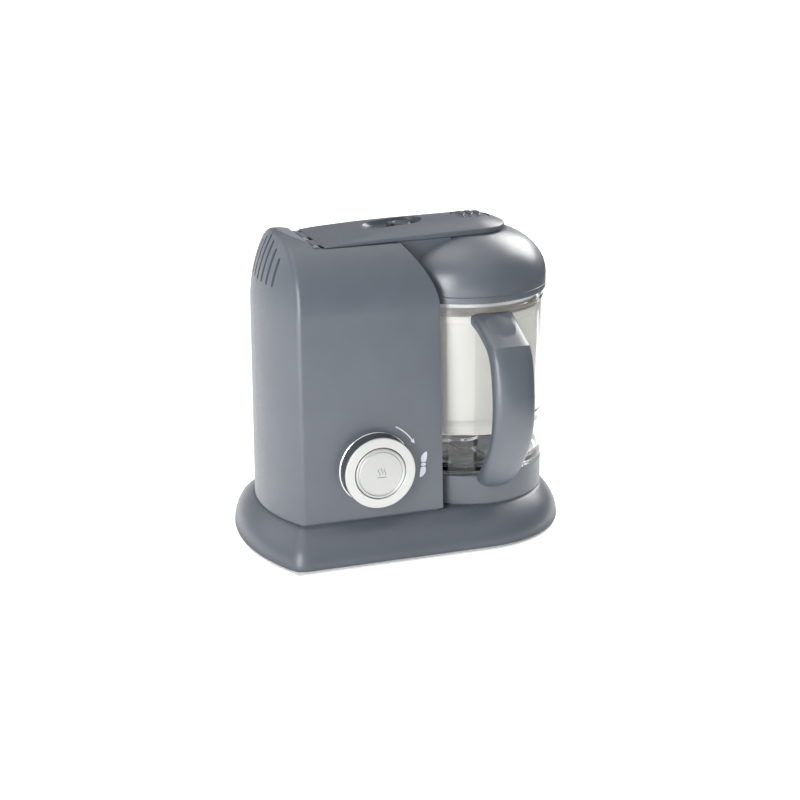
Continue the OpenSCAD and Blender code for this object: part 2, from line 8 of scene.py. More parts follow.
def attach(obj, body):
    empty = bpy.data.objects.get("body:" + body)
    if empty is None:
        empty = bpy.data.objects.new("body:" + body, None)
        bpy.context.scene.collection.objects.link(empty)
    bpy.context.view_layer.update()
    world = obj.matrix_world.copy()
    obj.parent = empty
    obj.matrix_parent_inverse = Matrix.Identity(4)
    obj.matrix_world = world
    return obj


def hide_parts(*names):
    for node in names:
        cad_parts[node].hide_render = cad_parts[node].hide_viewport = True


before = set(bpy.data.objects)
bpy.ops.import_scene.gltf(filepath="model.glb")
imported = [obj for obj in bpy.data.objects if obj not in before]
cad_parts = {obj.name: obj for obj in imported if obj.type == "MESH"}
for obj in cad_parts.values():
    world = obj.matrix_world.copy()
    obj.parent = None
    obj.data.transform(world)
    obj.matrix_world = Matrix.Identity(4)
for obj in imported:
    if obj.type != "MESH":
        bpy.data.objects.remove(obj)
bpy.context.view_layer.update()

# Drawing coordinates are millimetres from the bowl's axis; SX and SY bring them into the shared frame.
SX, SY = 54.4, 14.3
COLL = bpy.context.scene.collection
pi = math.pi


def put(p):
    return (0.001 * (p[0] + SX), 0.001 * (p[1] + SY), 0.001 * p[2])


def lerp(a, b, t):
    return a + (b - a) * t


def sstep(a, b, x):
    t = min(1.0, max(0.0, (x - a) / (b - a)))
    return t * t * (3 - 2 * t)


def spow(v, e):
    return math.copysign(abs(v) ** e, v)


# ---------------------------------------------------------------- mesh tools
def make(name, verts, faces, merge=2e-6):
    me = bpy.data.meshes.new(name)
    me.from_pydata([put(v) for v in verts], [], faces)
    bm = bmesh.new()
    bm.from_mesh(me)
    bmesh.ops.remove_doubles(bm, verts=bm.verts, dist=merge)
    bmesh.ops.dissolve_degenerate(bm, edges=bm.edges, dist=1e-7)
    bmesh.ops.recalc_face_normals(bm, faces=bm.faces)
    bm.to_mesh(me)
    bm.free()
    ob = bpy.data.objects.new(name, me)
    COLL.objects.link(ob)
    return ob


def loft(rings, cap0=True, cap1=True, closed=False):
    n, m = len(rings[0]), len(rings)
    verts = [p for r in rings for p in r]
    faces = []
    for i in range(m if closed else m - 1):
        a, b = i * n, ((i + 1) % m) * n
        for k in range(n):
            l = (k + 1) % n
            faces.append((a + k, a + l, b + l, b + k))
    if cap0 and not closed:
        faces.append(tuple(range(n - 1, -1, -1)))
    if cap1 and not closed:
        faces.append(tuple((m - 1) * n + k for k in range(n)))
    return verts, faces


def patch(rows, verts, faces):
    """Adds an open grid of quads to verts and faces."""
    base, n = len(verts), len(rows[0])
    for r in rows:
        verts.extend(r)
    for i in range(len(rows) - 1):
        for k in range(n - 1):
            a = base + i * n + k
            faces.append((a, a + 1, a + n + 1, a + n))


def rounded(pts, seg=4):
    """Corners (a, b, radius) of a closed outline, each rounded by an arc."""
    out, n = [], len(pts)
    for i, (x, y, r) in enumerate(pts):
        q = Vector((x, y))
        a, b = Vector(pts[i - 1][:2]) - q, Vector(pts[(i + 1) % n][:2]) - q
        if r <= 0 or a.length < 1e-9 or b.length < 1e-9:
            out.append((x, y))
            continue
        la, lb = a.length, b.length
        a, b = a / la, b / lb
        ang = a.angle(b)
        if ang > 3.1:
            out.append((x, y))
            continue
        d = min(r / math.tan(ang / 2), 0.49 * la, 0.49 * lb)
        p0, p2, w = q + a * d, q + b * d, math.sin(ang / 2)
        for k in range(seg + 1):
            t = k / seg
            c0, c1, c2 = (1 - t) ** 2, 2 * t * (1 - t) * w, t * t
            v = (p0 * c0 + q * c1 + p2 * c2) / (c0 + c1 + c2)
            out.append((v.x, v.y))
    return out


def lathe(name, prof, seg=144, centre=(0, 0), axis="z", phase=0.0):
    """A closed profile of (radius, height) turned about Z, or about Y with height counted towards the front."""
    rings = []
    for k in range(seg):
        a = 2 * pi * k / seg + phase
        c, s = math.cos(a), math.sin(a)
        if axis == "z":
            rings.append([(centre[0] + r * c, centre[1] + r * s, h) for r, h in prof])
        else:
            rings.append([(centre[0] + r * c, -h, centre[1] + r * s) for r, h in prof])
    return make(name, *loft(rings, closed=True))


def rod(name, p0, p1, r, seg=48, grow=1.0):
    """A round cutter from p0 to p1."""
    a, b = Vector(p0), Vector(p1)
    d = (b - a).normalized()
    u = d.orthogonal().normalized()
    v = d.cross(u)
    rings = [[tuple(q + (u * math.cos(2 * pi * k / seg) + v * math.sin(2 * pi * k / seg)) * rr) for k in range(seg)]
             for q, rr in ((a, r), (b, r * grow))]
    return make(name, *loft(rings))


def slab(name, lo, hi):
    x0, y0, z0 = lo
    x1, y1, z1 = hi
    return make(name, *loft([[(x0, y0, z), (x1, y0, z), (x1, y1, z), (x0, y1, z)] for z in (z0, z1)]))


def prism(name, outline, lo, hi, axis="z"):
    """An outline pushed from lo to hi along an axis. For y the outline is (x, z), for x it is (y, z)."""
    def at(p, h):
        return {"z": (p[0], p[1], h), "y": (p[0], h, p[1]), "x": (h, p[0], p[1])}[axis]
    return make(name, *loft([[at(p, h) for p in outline] for h in (lo, hi)]))


def cut(ob, *cutters, op="DIFFERENCE"):
    for c in cutters:
        m = ob.modifiers.new("cut", "BOOLEAN")
        m.operation, m.object, m.solver = op, c, "EXACT"
    bpy.context.view_layer.update()
    dg = bpy.context.evaluated_depsgraph_get()
    me = bpy.data.meshes.new_from_object(ob.evaluated_get(dg), depsgraph=dg)
    ob.modifiers.clear()
    old = ob.data
    ob.data = me
    me.name = ob.name
    bpy.data.meshes.remove(old)
    for c in cutters:
        old = c.data
        bpy.data.objects.remove(c)
        bpy.data.meshes.remove(old)
    return ob


def copy_of(ob, name):
    new = bpy.data.objects.new(name, ob.data.copy())
    COLL.objects.link(new)
    return new


def join(name, parts):
    """One object from several, keeping each part's material."""
    bm = bmesh.new()
    mats = []
    for p in parts:
        used = [m for m in p.data.materials]
        start = len(bm.faces)
        bm.from_mesh(p.data)
        bm.faces.ensure_lookup_table()
        for f in bm.faces[start:]:
            if used:
                m = used[f.material_index]
                if m not in mats:
                    mats.append(m)
                f.material_index = mats.index(m)
    me = bpy.data.meshes.new(name)
    bm.to_mesh(me)
    bm.free()
    for m in mats:
        me.materials.append(m)
    for p in parts:
        old = p.data
        bpy.data.objects.remove(p)
        bpy.data.meshes.remove(old)
    ob = bpy.data.objects.new(name, me)
    COLL.objects.link(ob)
    return ob


def done(ob, body, mat, slot, *nodes, angle=32, flat=False):
    if mat is not None:
        ob.data.materials.clear()
        ob.data.materials.append(mat)
    ob.data.shade_smooth()
    ob.data.set_sharp_from_angle(angle=math.radians(angle))
    if not flat:
        m = ob.modifiers.new("normals", "WEIGHTED_NORMAL")
        m.keep_sharp, m.weight = True, 60
    if nodes:
        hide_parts(*nodes)
    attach(ob, body)
    return ob


# ---------------------------------------------------------------- materials
class Mat:
    """A Principled material with small helpers for procedural detail."""

    def __init__(self, name, **values):
        self.m = bpy.data.materials.new(name)
        self.m.use_nodes = True
        self.t = self.m.node_tree
        self.b = self.t.nodes["Principled BSDF"]
        self.c = self.t.nodes.new("ShaderNodeTexCoord")
        self.bump_in = None
        for k, v in values.items():
            self.set(k.replace("_", " "), v)

    def set(self, socket, v):
        s = self.b.inputs[socket]
        if hasattr(s.default_value, "__len__") and not isinstance(v, (int, float)) and len(v) == 3:
            v = (*v, 1.0)
        s.default_value = v

    def node(self, kind, **inputs):
        n = self.t.nodes.new(kind)
        for k, v in inputs.items():
            n.inputs[k.replace("_", " ")].default_value = v
        return n

    def link(self, a, b):
        self.t.links.new(a, b)

    def coords(self, scale=(1, 1, 1), rotate=(0, 0, 0)):
        mp = self.t.nodes.new("ShaderNodeMapping")
        mp.inputs["Scale"].default_value = scale
        mp.inputs["Rotation"].default_value = rotate
        self.link(self.c.outputs["Object"], mp.inputs["Vector"])
        return mp.outputs["Vector"]

    def noise(self, scale, detail=3.0, rough=0.55, distort=0.0, vec=None):
        n = self.node("ShaderNodeTexNoise", Scale=scale, Detail=detail, Roughness=rough, Distortion=distort)
        self.link(vec if vec is not None else self.c.outputs["Object"], n.inputs["Vector"])
        return n.outputs["Fac"]

    def ramp(self, fac, stops):
        r = self.t.nodes.new("ShaderNodeValToRGB")
        while len(r.color_ramp.elements) < len(stops):
            r.color_ramp.elements.new(0.5)
        for e, (p, c) in zip(r.color_ramp.elements, stops):
            e.position = p
            e.color = (*c, 1.0) if len(c) == 3 else c
        self.link(fac, r.inputs["Fac"])
        return r.outputs["Color"]

    def span(self, fac, lo, hi, a=0.0, b=1.0):
        n = self.t.nodes.new("ShaderNodeMapRange")
        n.inputs["From Min"].default_value, n.inputs["From Max"].default_value = a, b
        n.inputs["To Min"].default_value, n.inputs["To Max"].default_value = lo, hi
        self.link(fac, n.inputs["Value"])
        return n.outputs["Result"]

    def bump(self, height, strength, distance):
        n = self.t.nodes.new("ShaderNodeBump")
        n.inputs["Strength"].default_value = strength
        n.inputs["Distance"].default_value = distance
        self.link(height, n.inputs["Height"])
        if self.bump_in is not None:
            self.link(self.bump_in, n.inputs["Normal"])
        self.bump_in = n.outputs["Normal"]
        self.link(self.bump_in, self.b.inputs["Normal"])


def plastic(name, col, rough=0.42, grain=0.05, grain_mm=0.35, vary=0.04, spec=0.45, coat=0.0, sheen=0.0):
    """Moulded plastic: an eroded fine grain, slow clouding of colour and roughness."""
    m = Mat(name, Roughness=rough)
    m.set("Specular IOR Level", spec)
    if coat:
        m.set("Coat Weight", coat)
        m.set("Coat Roughness", 0.25)
    if sheen:
        m.set("Sheen Weight", sheen)
        m.set("Sheen Roughness", 0.5)
    slow = m.noise(38.0, 2.0, 0.5)
    lo = [c * (1 - vary) for c in col]
    hi = [min(1.0, c * (1 + vary)) for c in col]
    m.link(m.ramp(slow, [(0.3, lo), (0.7, hi)]), m.b.inputs["Base Color"])
    mid = m.noise(420.0, 4.0, 0.6)
    m.link(m.span(mid, rough - 0.045, rough + 0.05, 0.3, 0.7), m.b.inputs["Roughness"])
    fine = m.noise(1000.0 / grain_mm, 2.0, 0.5)
    m.bump(fine, grain, 0.00006)
    flow = m.noise(16.0, 1.0, 0.4)
    m.bump(flow, 0.05, 0.0006)
    return m.m


def metal(name, col, rough=0.3, along="x", brush=0.12, vary=0.06, length=18.0, metallic=1.0):
    """Brushed or ground metal: long thin scratches in roughness, tint and bump."""
    m = Mat(name, Roughness=rough, Metallic=metallic)
    s = {"x": (1 / length, 1, 1), "y": (1, 1 / length, 1), "z": (1, 1, 1 / length)}[along]
    v = m.coords(s)
    lines = m.noise(2600.0, 3.0, 0.6, vec=v)
    lo, hi = [c * (1 - vary) for c in col], [min(1.0, c * (1 + vary)) for c in col]
    m.link(m.ramp(lines, [(0.3, lo), (0.7, hi)]), m.b.inputs["Base Color"])
    m.link(m.span(lines, rough - 0.08, rough + 0.1, 0.3, 0.7), m.b.inputs["Roughness"])
    m.bump(lines, brush, 0.00008)
    cloud = m.noise(60.0, 2.0, 0.5)
    m.bump(cloud, 0.03, 0.0004)
    return m.m


def rubber(name, col, rough=0.7):
    m = Mat(name, Roughness=rough)
    m.set("Specular IOR Level", 0.3)
    n = m.noise(150.0, 4.0, 0.6)
    m.link(m.ramp(n, [(0.3, [c * 0.85 for c in col]), (0.7, [min(1, c * 1.15) for c in col])]), m.b.inputs["Base Color"])
    m.link(m.span(n, rough - 0.08, rough + 0.1, 0.3, 0.7), m.b.inputs["Roughness"])
    m.bump(m.noise(2200.0, 3.0, 0.6), 0.12, 0.00008)
    return m.m


SLATE = (0.084, 0.097, 0.117)
M_shell = plastic("slate_plastic", SLATE, 0.37, spec=0.75)
M_lid = plastic("slate_plastic_lid", SLATE, 0.33, grain=0.03, spec=0.95)
M_arm = plastic("slate_plastic_arm", SLATE, 0.37, grain=0.04, spec=0.7)
M_handle = plastic("slate_plastic_handle", SLATE, 0.34, grain=0.03, spec=0.8)
M_pad = plastic("slate_plastic_pad", SLATE, 0.38, grain=0.05, spec=0.7)
M_under = plastic("arm_underside_plastic", (0.12, 0.135, 0.16), 0.5, grain=0.12)
M_dark = plastic("dark_plastic", (0.045, 0.052, 0.064), 0.45, grain=0.08)
M_knobside = plastic("knob_side_plastic", (0.044, 0.051, 0.062), 0.38, grain=0.05)
M_black = plastic("black_plastic", (0.014, 0.015, 0.018), 0.42, grain=0.08)
M_inner = plastic("inner_plastic", (0.05, 0.055, 0.065), 0.5, grain=0.1)
M_pan = plastic("pale_plastic", (0.60, 0.605, 0.615), 0.45, grain=0.08)
M_ivory = plastic("ivory_plastic", (0.70, 0.67, 0.58), 0.5, grain=0.1)
M_foot = rubber("foot_rubber", (0.03, 0.031, 0.033))
M_gland = rubber("gland_rubber", (0.022, 0.023, 0.026), 0.6)
M_belt = rubber("belt_rubber", (0.012, 0.012, 0.013), 0.75)
M_silicone = rubber("silicone", (0.72, 0.72, 0.70), 0.5)
M_knob = metal("knob_silver", (0.56, 0.565, 0.55), 0.40, "z", 0.08, 0.03, 26.0, 0.75)
M_button = metal("button_silver", (0.475, 0.48, 0.465), 0.36, "z", 0.05, 0.02, 26.0, 0.75)
M_chrome = metal("ring_chrome", (0.86, 0.87, 0.88), 0.18, "x", 0.03, 0.02)
M_blade = metal("blade_steel", (0.66, 0.67, 0.685), 0.20, "x", 0.08)
M_pin = metal("pin_steel", (0.74, 0.75, 0.76), 0.24, "y", 0.08)
M_hinge = metal("hinge_steel", (0.52, 0.54, 0.56), 0.36, "y", 0.12)
M_screw = metal("screw_steel", (0.58, 0.59, 0.60), 0.34, "x", 0.15)
M_motor = metal("motor_steel", (0.30, 0.31, 0.325), 0.42, "z", 0.15)
M_bracket = metal("bracket_steel", (0.44, 0.45, 0.46), 0.4, "x", 0.15)
M_tank = metal("tank_steel", (0.62, 0.64, 0.655), 0.28, "z", 0.10)
M_heater = metal("heater_metal", (0.20, 0.155, 0.12), 0.5, "x", 0.2, 0.25)
M_brass = metal("bush_brass", (0.62, 0.43, 0.16), 0.3, "z", 0.08)
M_board = plastic("board_green", (0.02, 0.13, 0.055), 0.35, grain=0.15, vary=0.15)


def clear_plastic(name, col, rough, grain=0.02):
    """Clear moulded plastic with faint flow waviness."""
    m = Mat(name, Roughness=rough)
    m.set("Base Color", col)
    m.set("Transmission Weight", 1.0)
    m.set("IOR", 1.46)
    m.set("Specular IOR Level", 0.5)
    n = m.noise(300.0, 3.0, 0.5)
    m.link(m.span(n, rough, rough + 0.03, 0.35, 0.7), m.b.inputs["Roughness"])
    m.bump(m.noise(30.0, 1.0, 0.4), grain, 0.0006)
    # lamps and scattered light pass straight through
    lp = m.t.nodes.new("ShaderNodeLightPath")
    either = m.t.nodes.new("ShaderNodeMath")
    either.operation = "MAXIMUM"
    m.link(lp.outputs["Is Shadow Ray"], either.inputs[0])
    m.link(lp.outputs["Is Diffuse Ray"], either.inputs[1])
    clear = m.t.nodes.new("ShaderNodeBsdfTransparent")
    clear.inputs["Color"].default_value = (0.95, 0.955, 0.955, 1.0)
    mix = m.t.nodes.new("ShaderNodeMixShader")
    m.link(either.outputs[0], mix.inputs[0])
    m.link(m.b.outputs[0], mix.inputs[1])
    m.link(clear.outputs[0], mix.inputs[2])
    m.link(mix.outputs[0], m.t.nodes["Material Output"].inputs["Surface"])
    return m.m


def frosted(name, col, rough=0.45):
    """Translucent off-white plastic: part diffuse, part light passing through."""
    m = Mat(name, Roughness=rough)
    m.set("Transmission Weight", 0.30)
    m.set("IOR", 1.3)
    n = m.noise(70.0, 3.0, 0.5)
    m.link(m.ramp(n, [(0.3, [c * 0.96 for c in col]), (0.7, col)]), m.b.inputs["Base Color"])
    m.link(m.span(n, rough - 0.05, rough + 0.08, 0.3, 0.7), m.b.inputs["Roughness"])
    m.bump(m.noise(1500.0, 2.0, 0.5), 0.05, 0.00008)
    return m.m


M_bowl = clear_plastic("bowl_clear", (0.985, 0.99, 0.992), 0.015)
M_basket = frosted("basket_frost", (0.84, 0.822, 0.778))
M_lidin = frosted("lid_inner_white", (0.84, 0.845, 0.85), 0.35)

# ---------------------------------------------------------------- camera, light, floor
AZ, EL, ROLL = math.radians(18.964), math.radians(17.533), math.radians(-0.317)
fwd = Vector((math.sin(AZ) * math.cos(EL), math.cos(AZ) * math.cos(EL), -math.sin(EL)))
right = Vector((math.cos(AZ), -math.sin(AZ), 0.0))
up = right.cross(fwd)
rr = right * math.cos(ROLL) + up * math.sin(ROLL)
uu = up * math.cos(ROLL) - right * math.sin(ROLL)
cam_data = bpy.data.cameras.new("camera")
cam_data.lens, cam_data.sensor_width = 82.4, 36.0
cam_data.clip_start, cam_data.clip_end = 0.05, 60.0
cam = bpy.data.objects.new("camera", cam_data)
COLL.objects.link(cam)
cam.matrix_world = Matrix(((rr.x, uu.x, -fwd.x, -0.4441), (rr.y, uu.y, -fwd.y, -1.2826), (rr.z, uu.z, -fwd.z, 0.5353), (0, 0, 0, 1)))
bpy.context.scene.camera = cam
bpy.context.scene.view_settings.view_transform = "Standard"
bpy.context.scene.view_settings.look = "None"

world = bpy.data.worlds.new("studio")
bpy.context.scene.world = world
world.use_nodes = True
wt = world.node_tree
wc = wt.nodes.new("ShaderNodeTexCoord")
ws = wt.nodes.new("ShaderNodeSeparateXYZ")
wr = wt.nodes.new("ShaderNodeValToRGB")
# a bright backdrop low down all round, and a dimmer studio above it
for e, (q, v) in zip([wr.color_ramp.elements[0], wr.color_ramp.elements[1], wr.color_ramp.elements.new(0.5)], ((0.0, 0.95), (0.13, 0.8), (0.25, 0.2))):
    e.position, e.color = q, (v * 0.96, v * 0.98, v, 1.0)
wt.links.new(wc.outputs["Generated"], ws.inputs["Vector"])
wt.links.new(ws.outputs["Z"], wr.inputs["Fac"])
wt.links.new(wr.outputs["Color"], wt.nodes["Background"].inputs["Color"])
wl = wt.nodes.new("ShaderNodeLightPath")
wd = wt.nodes.new("ShaderNodeVectorMath")
wd.operation = "DOT_PRODUCT"
wd.inputs[1].default_value = (right.x, right.y, 0.0)
wt.links.new(wc.outputs["Generated"], wd.inputs[0])
wm = wt.nodes.new("ShaderNodeMapRange")
for k, v in (("From Min", 0.35), ("From Max", 0.8), ("To Min", 0.0), ("To Max", 0.8)):
    wm.inputs[k].default_value = v
wt.links.new(wd.outputs["Value"], wm.inputs["Value"])
wx = wt.nodes.new("ShaderNodeMath")
wx.operation = "MULTIPLY"
wt.links.new(wm.outputs["Result"], wx.inputs[0])
wt.links.new(wl.outputs["Is Glossy Ray"], wx.inputs[1])
wy = wt.nodes.new("ShaderNodeMath")
wy.operation = "SUBTRACT"
wy.inputs[0].default_value = 1.0
wt.links.new(wx.outputs["Value"], wy.inputs[1])
wt.links.new(wy.outputs["Value"], wt.nodes["Background"].inputs["Strength"])


def softbox(name, pos, target, size, power, color=(1, 1, 1), size_y=None):
    d = bpy.data.lights.new(name, "AREA")
    d.energy, d.color = power, color
    d.shape = "RECTANGLE"
    d.size, d.size_y = size, size_y or size
    o = bpy.data.objects.new(name, d)
    COLL.objects.link(o)
    o.location = pos
    o.rotation_euler = (Vector(target) - Vector(pos)).to_track_quat("-Z", "Y").to_euler()
    o.visible_camera = False
    return o


softbox("key", (1.03, 0.57, 0.90), (0.085, -0.025, 0.227), 0.8, 16.0, (1.0, 0.985, 0.96))
softbox("left", (-0.62, -0.60, 0.34), (-0.05, -0.03, 0.16), 0.34, 5.6, (1.0, 1.0, 1.0), 0.62)
softbox("front", (-0.5, -1.9, 0.95), (0.0, 0.0, 0.1), 1.3, 0.8, (1.0, 1.0, 1.0), 0.9)
softbox("ridge", (-1.1, 0.97, 0.78), (-0.09, 0.0, 0.2), 0.8, 2.0, (1.0, 1.0, 1.0))
softbox("over", (-0.25, 0.1, 1.5), (-0.02, -0.03, 0.1), 0.9, 2.8)

floor_n = 24
fv, ff = [], []
for i in range(floor_n + 1):
    a = 2 * pi * i / floor_n
    fv.append((6.0 * math.cos(a), 6.0 * math.sin(a), -0.0002))
me = bpy.data.meshes.new("floor")
me.from_pydata(fv[:floor_n], [], [tuple(range(floor_n))])
floor = bpy.data.objects.new("floor", me)
COLL.objects.link(floor)
mf = Mat("floor_white", Roughness=0.9)
mf.set("Specular IOR Level", 0.0)
mf.set("Emission Color", (1.0, 1.0, 1.0))
mf.set("Emission Strength", 0.62)
mf.link(mf.ramp(mf.noise(3.0, 2.0), [(0.3, (0.86, 0.86, 0.865)), (0.7, (0.88, 0.88, 0.882))]), mf.b.inputs["Base Color"])
# the floor is painted dark to the right of the object for glossy rays only, a painted dark reflection, so that
# reflections there fall off
fm = mf.t.nodes.new("ShaderNodeLightPath")
fg = mf.t.nodes.new("ShaderNodeNewGeometry")
fd = mf.t.nodes.new("ShaderNodeVectorMath")
fd.operation = "DOT_PRODUCT"
fd.inputs[1].default_value = (right.x, right.y, 0.0)
mf.link(fg.outputs["Position"], fd.inputs[0])
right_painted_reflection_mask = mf.span(fd.outputs["Value"], 0.0, 1.0, 0.28, 0.5)
fx = mf.node("ShaderNodeMath")
fx.operation = "MULTIPLY"
mf.link(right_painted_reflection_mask, fx.inputs[0])
mf.link(fm.outputs["Is Glossy Ray"], fx.inputs[1])
# and close to the object it is painted dark for reflections and bounced light, a painted shade like the shade under
# an object on a real table
fs = mf.t.nodes.new("ShaderNodeMath")
fs.operation = "ADD"
mf.link(fm.outputs["Is Glossy Ray"], fs.inputs[0])
mf.link(fm.outputs["Is Diffuse Ray"], fs.inputs[1])
fn = mf.t.nodes.new("ShaderNodeMath")
fn.operation = "MULTIPLY"
mf.link(mf.span(fm.outputs["Ray Length"], 0.85, 0.0, 0.0, 0.045), fn.inputs[0])
mf.link(fs.outputs["Value"], fn.inputs[1])
fz = mf.t.nodes.new("ShaderNodeMath")
fz.operation = "MAXIMUM"
mf.link(fx.outputs["Value"], fz.inputs[0])
mf.link(fn.outputs["Value"], fz.inputs[1])
# dark shader that carries the floor's painted shade and painted dark reflection
fdark = mf.node("ShaderNodeBsdfDiffuse", Color=(0.03, 0.03, 0.032, 1.0))
fmix = mf.t.nodes.new("ShaderNodeMixShader")
mf.link(fz.outputs["Value"], fmix.inputs["Fac"])
mf.link(mf.b.outputs["BSDF"], fmix.inputs[1])
mf.link(fdark.outputs["BSDF"], fmix.inputs[2])
mf.link(fmix.outputs["Shader"], mf.t.nodes["Material Output"].inputs["Surface"])
me.materials.append(mf.m)


# ---------------------------------------------------------------- base housing
def base_ring(f, z, t):
    """The base's plan at flare f and inset t, as a ring of points with rounded left corners."""
    cx, R = -34.2 + 16.2 * f, 133.7 + 32.3 * f - t
    yl = 61.3 + 21.4 * f - t
    c2, R2 = -7.5 * f, 62 + 20.7 * f - t
    th = math.asin(yl / R)
    rc = 4.0 + 6.0 * f
    dth = rc / R
    pts = []
    n1 = 44
    for i in range(n1 + 1):
        a = pi - (th - dth) + 2 * (th - dth) * i / n1
        pts.append((cx + R * math.cos(a), cx * 0 + R * math.sin(a), z))
    corner = Vector((cx - R * math.cos(th), -yl))
    p0 = Vector(pts[-1][:2])
    p2 = corner + Vector((rc, 0))
    for k in range(1, 7):
        s = k / 6
        v = p0 * (1 - s) ** 2 + corner * 2 * s * (1 - s) + p2 * s * s
        pts.append((v.x, v.y, z))
    end = Vector((c2, -R2))
    for k in range(1, 21):
        s = k / 20
        v = p2.lerp(end, s)
        pts.append((v.x, v.y, z))
    for k in range(1, 65):
        a = -pi / 2 + pi * k / 64
        pts.append((c2 + R2 * math.cos(a), R2 * math.sin(a), z))
    q0 = Vector((corner.x + rc, yl))
    for k in range(1, 21):
        s = k / 20
        v = Vector((c2, R2)).lerp(q0, s)
        pts.append((v.x, v.y, z))
    p1 = Vector(pts[0][:2])
    for k in range(1, 6):
        s = k / 6
        v = q0 * (1 - s) ** 2 + Vector((corner.x, yl)) * 2 * s * (1 - s) + p1 * s * s
        pts.append((v.x, v.y, z))
    return pts


def flare(t):
    return 1 - (1 - t) ** 2.2


rings = [base_ring(0, 30.4, 40), base_ring(0, 30.4, 1.3), base_ring(0, 30.36, 0.8), base_ring(0, 30.15, 0.3), base_ring(0.008, 29.8, 0.03)]
steps = [0.03, 0.06, 0.1, 0.15, 0.2, 0.26, 0.32, 0.38, 0.45, 0.52, 0.6, 0.68, 0.76, 0.84, 0.91, 0.96]
for t in steps:
    rings.append(base_ring(flare(t), 30.4 - 27.2 * t, 0))
rings += [base_ring(1, 3.9, 0), base_ring(1, 3.5, 0.1), base_ring(1, 3.27, 0.4), base_ring(1, 3.2, 0.8), base_ring(1, 3.2, 2.2), base_ring(1, 3.5, 2.5)]
for t in reversed(steps[1::2]):
    rings.append(base_ring(flare(t), 30.4 - 27.2 * t - 0.6, 2.5))
rings += [base_ring(0, 27.9, 3.2), base_ring(0, 27.9, 40)]
plinth = make("plinth_body", *loft(rings))
cut(plinth, rod("c1", (0, 0, 20), (0, 0, 40), 12.2), rod("c2", (-104, 10, 20), (-104, 10, 40), 12.0), slab("c3", (-150, -12, 20), (-136, 12, 40)), rod("c4", (-120, 64, 14), (-120, 100, 14), 6.0))
done(plinth, "base", M_shell, "shell", "plinth")

# seat of the bowl
prof = rounded([(19, 30.4, 0), (21.5, 30.4, 0), (21.5, 45, 0.6), (58.6, 45, 1), (58.6, 30.4, 0), (61.4, 30.4, 0), (61.45, 30.9, 0.1), (62, 31.5, 0.5),
                (62, 54.5, 0.9), (58.4, 54.5, 0.7), (58.4, 47.8, 0.6), (19, 47.8, 0.5)], 4)
seat = lathe("bowl_seat_ring", prof, 160)
done(seat, "base", M_shell, "shell", "bowl_seat")


# ---------------------------------------------------------------- tower
def xleft(y, z, t):
    r = 115.6 - t + 0.8 * min(1.0, max(0.0, (186 - z) / 155.6))
    return -52.2 - math.sqrt(max(0.0, r * r - y * y - max(0.0, z - 186) ** 2))


def xright(y, t):
    return -math.sqrt(max(0.0, (72.3 + t) ** 2 - y * y))


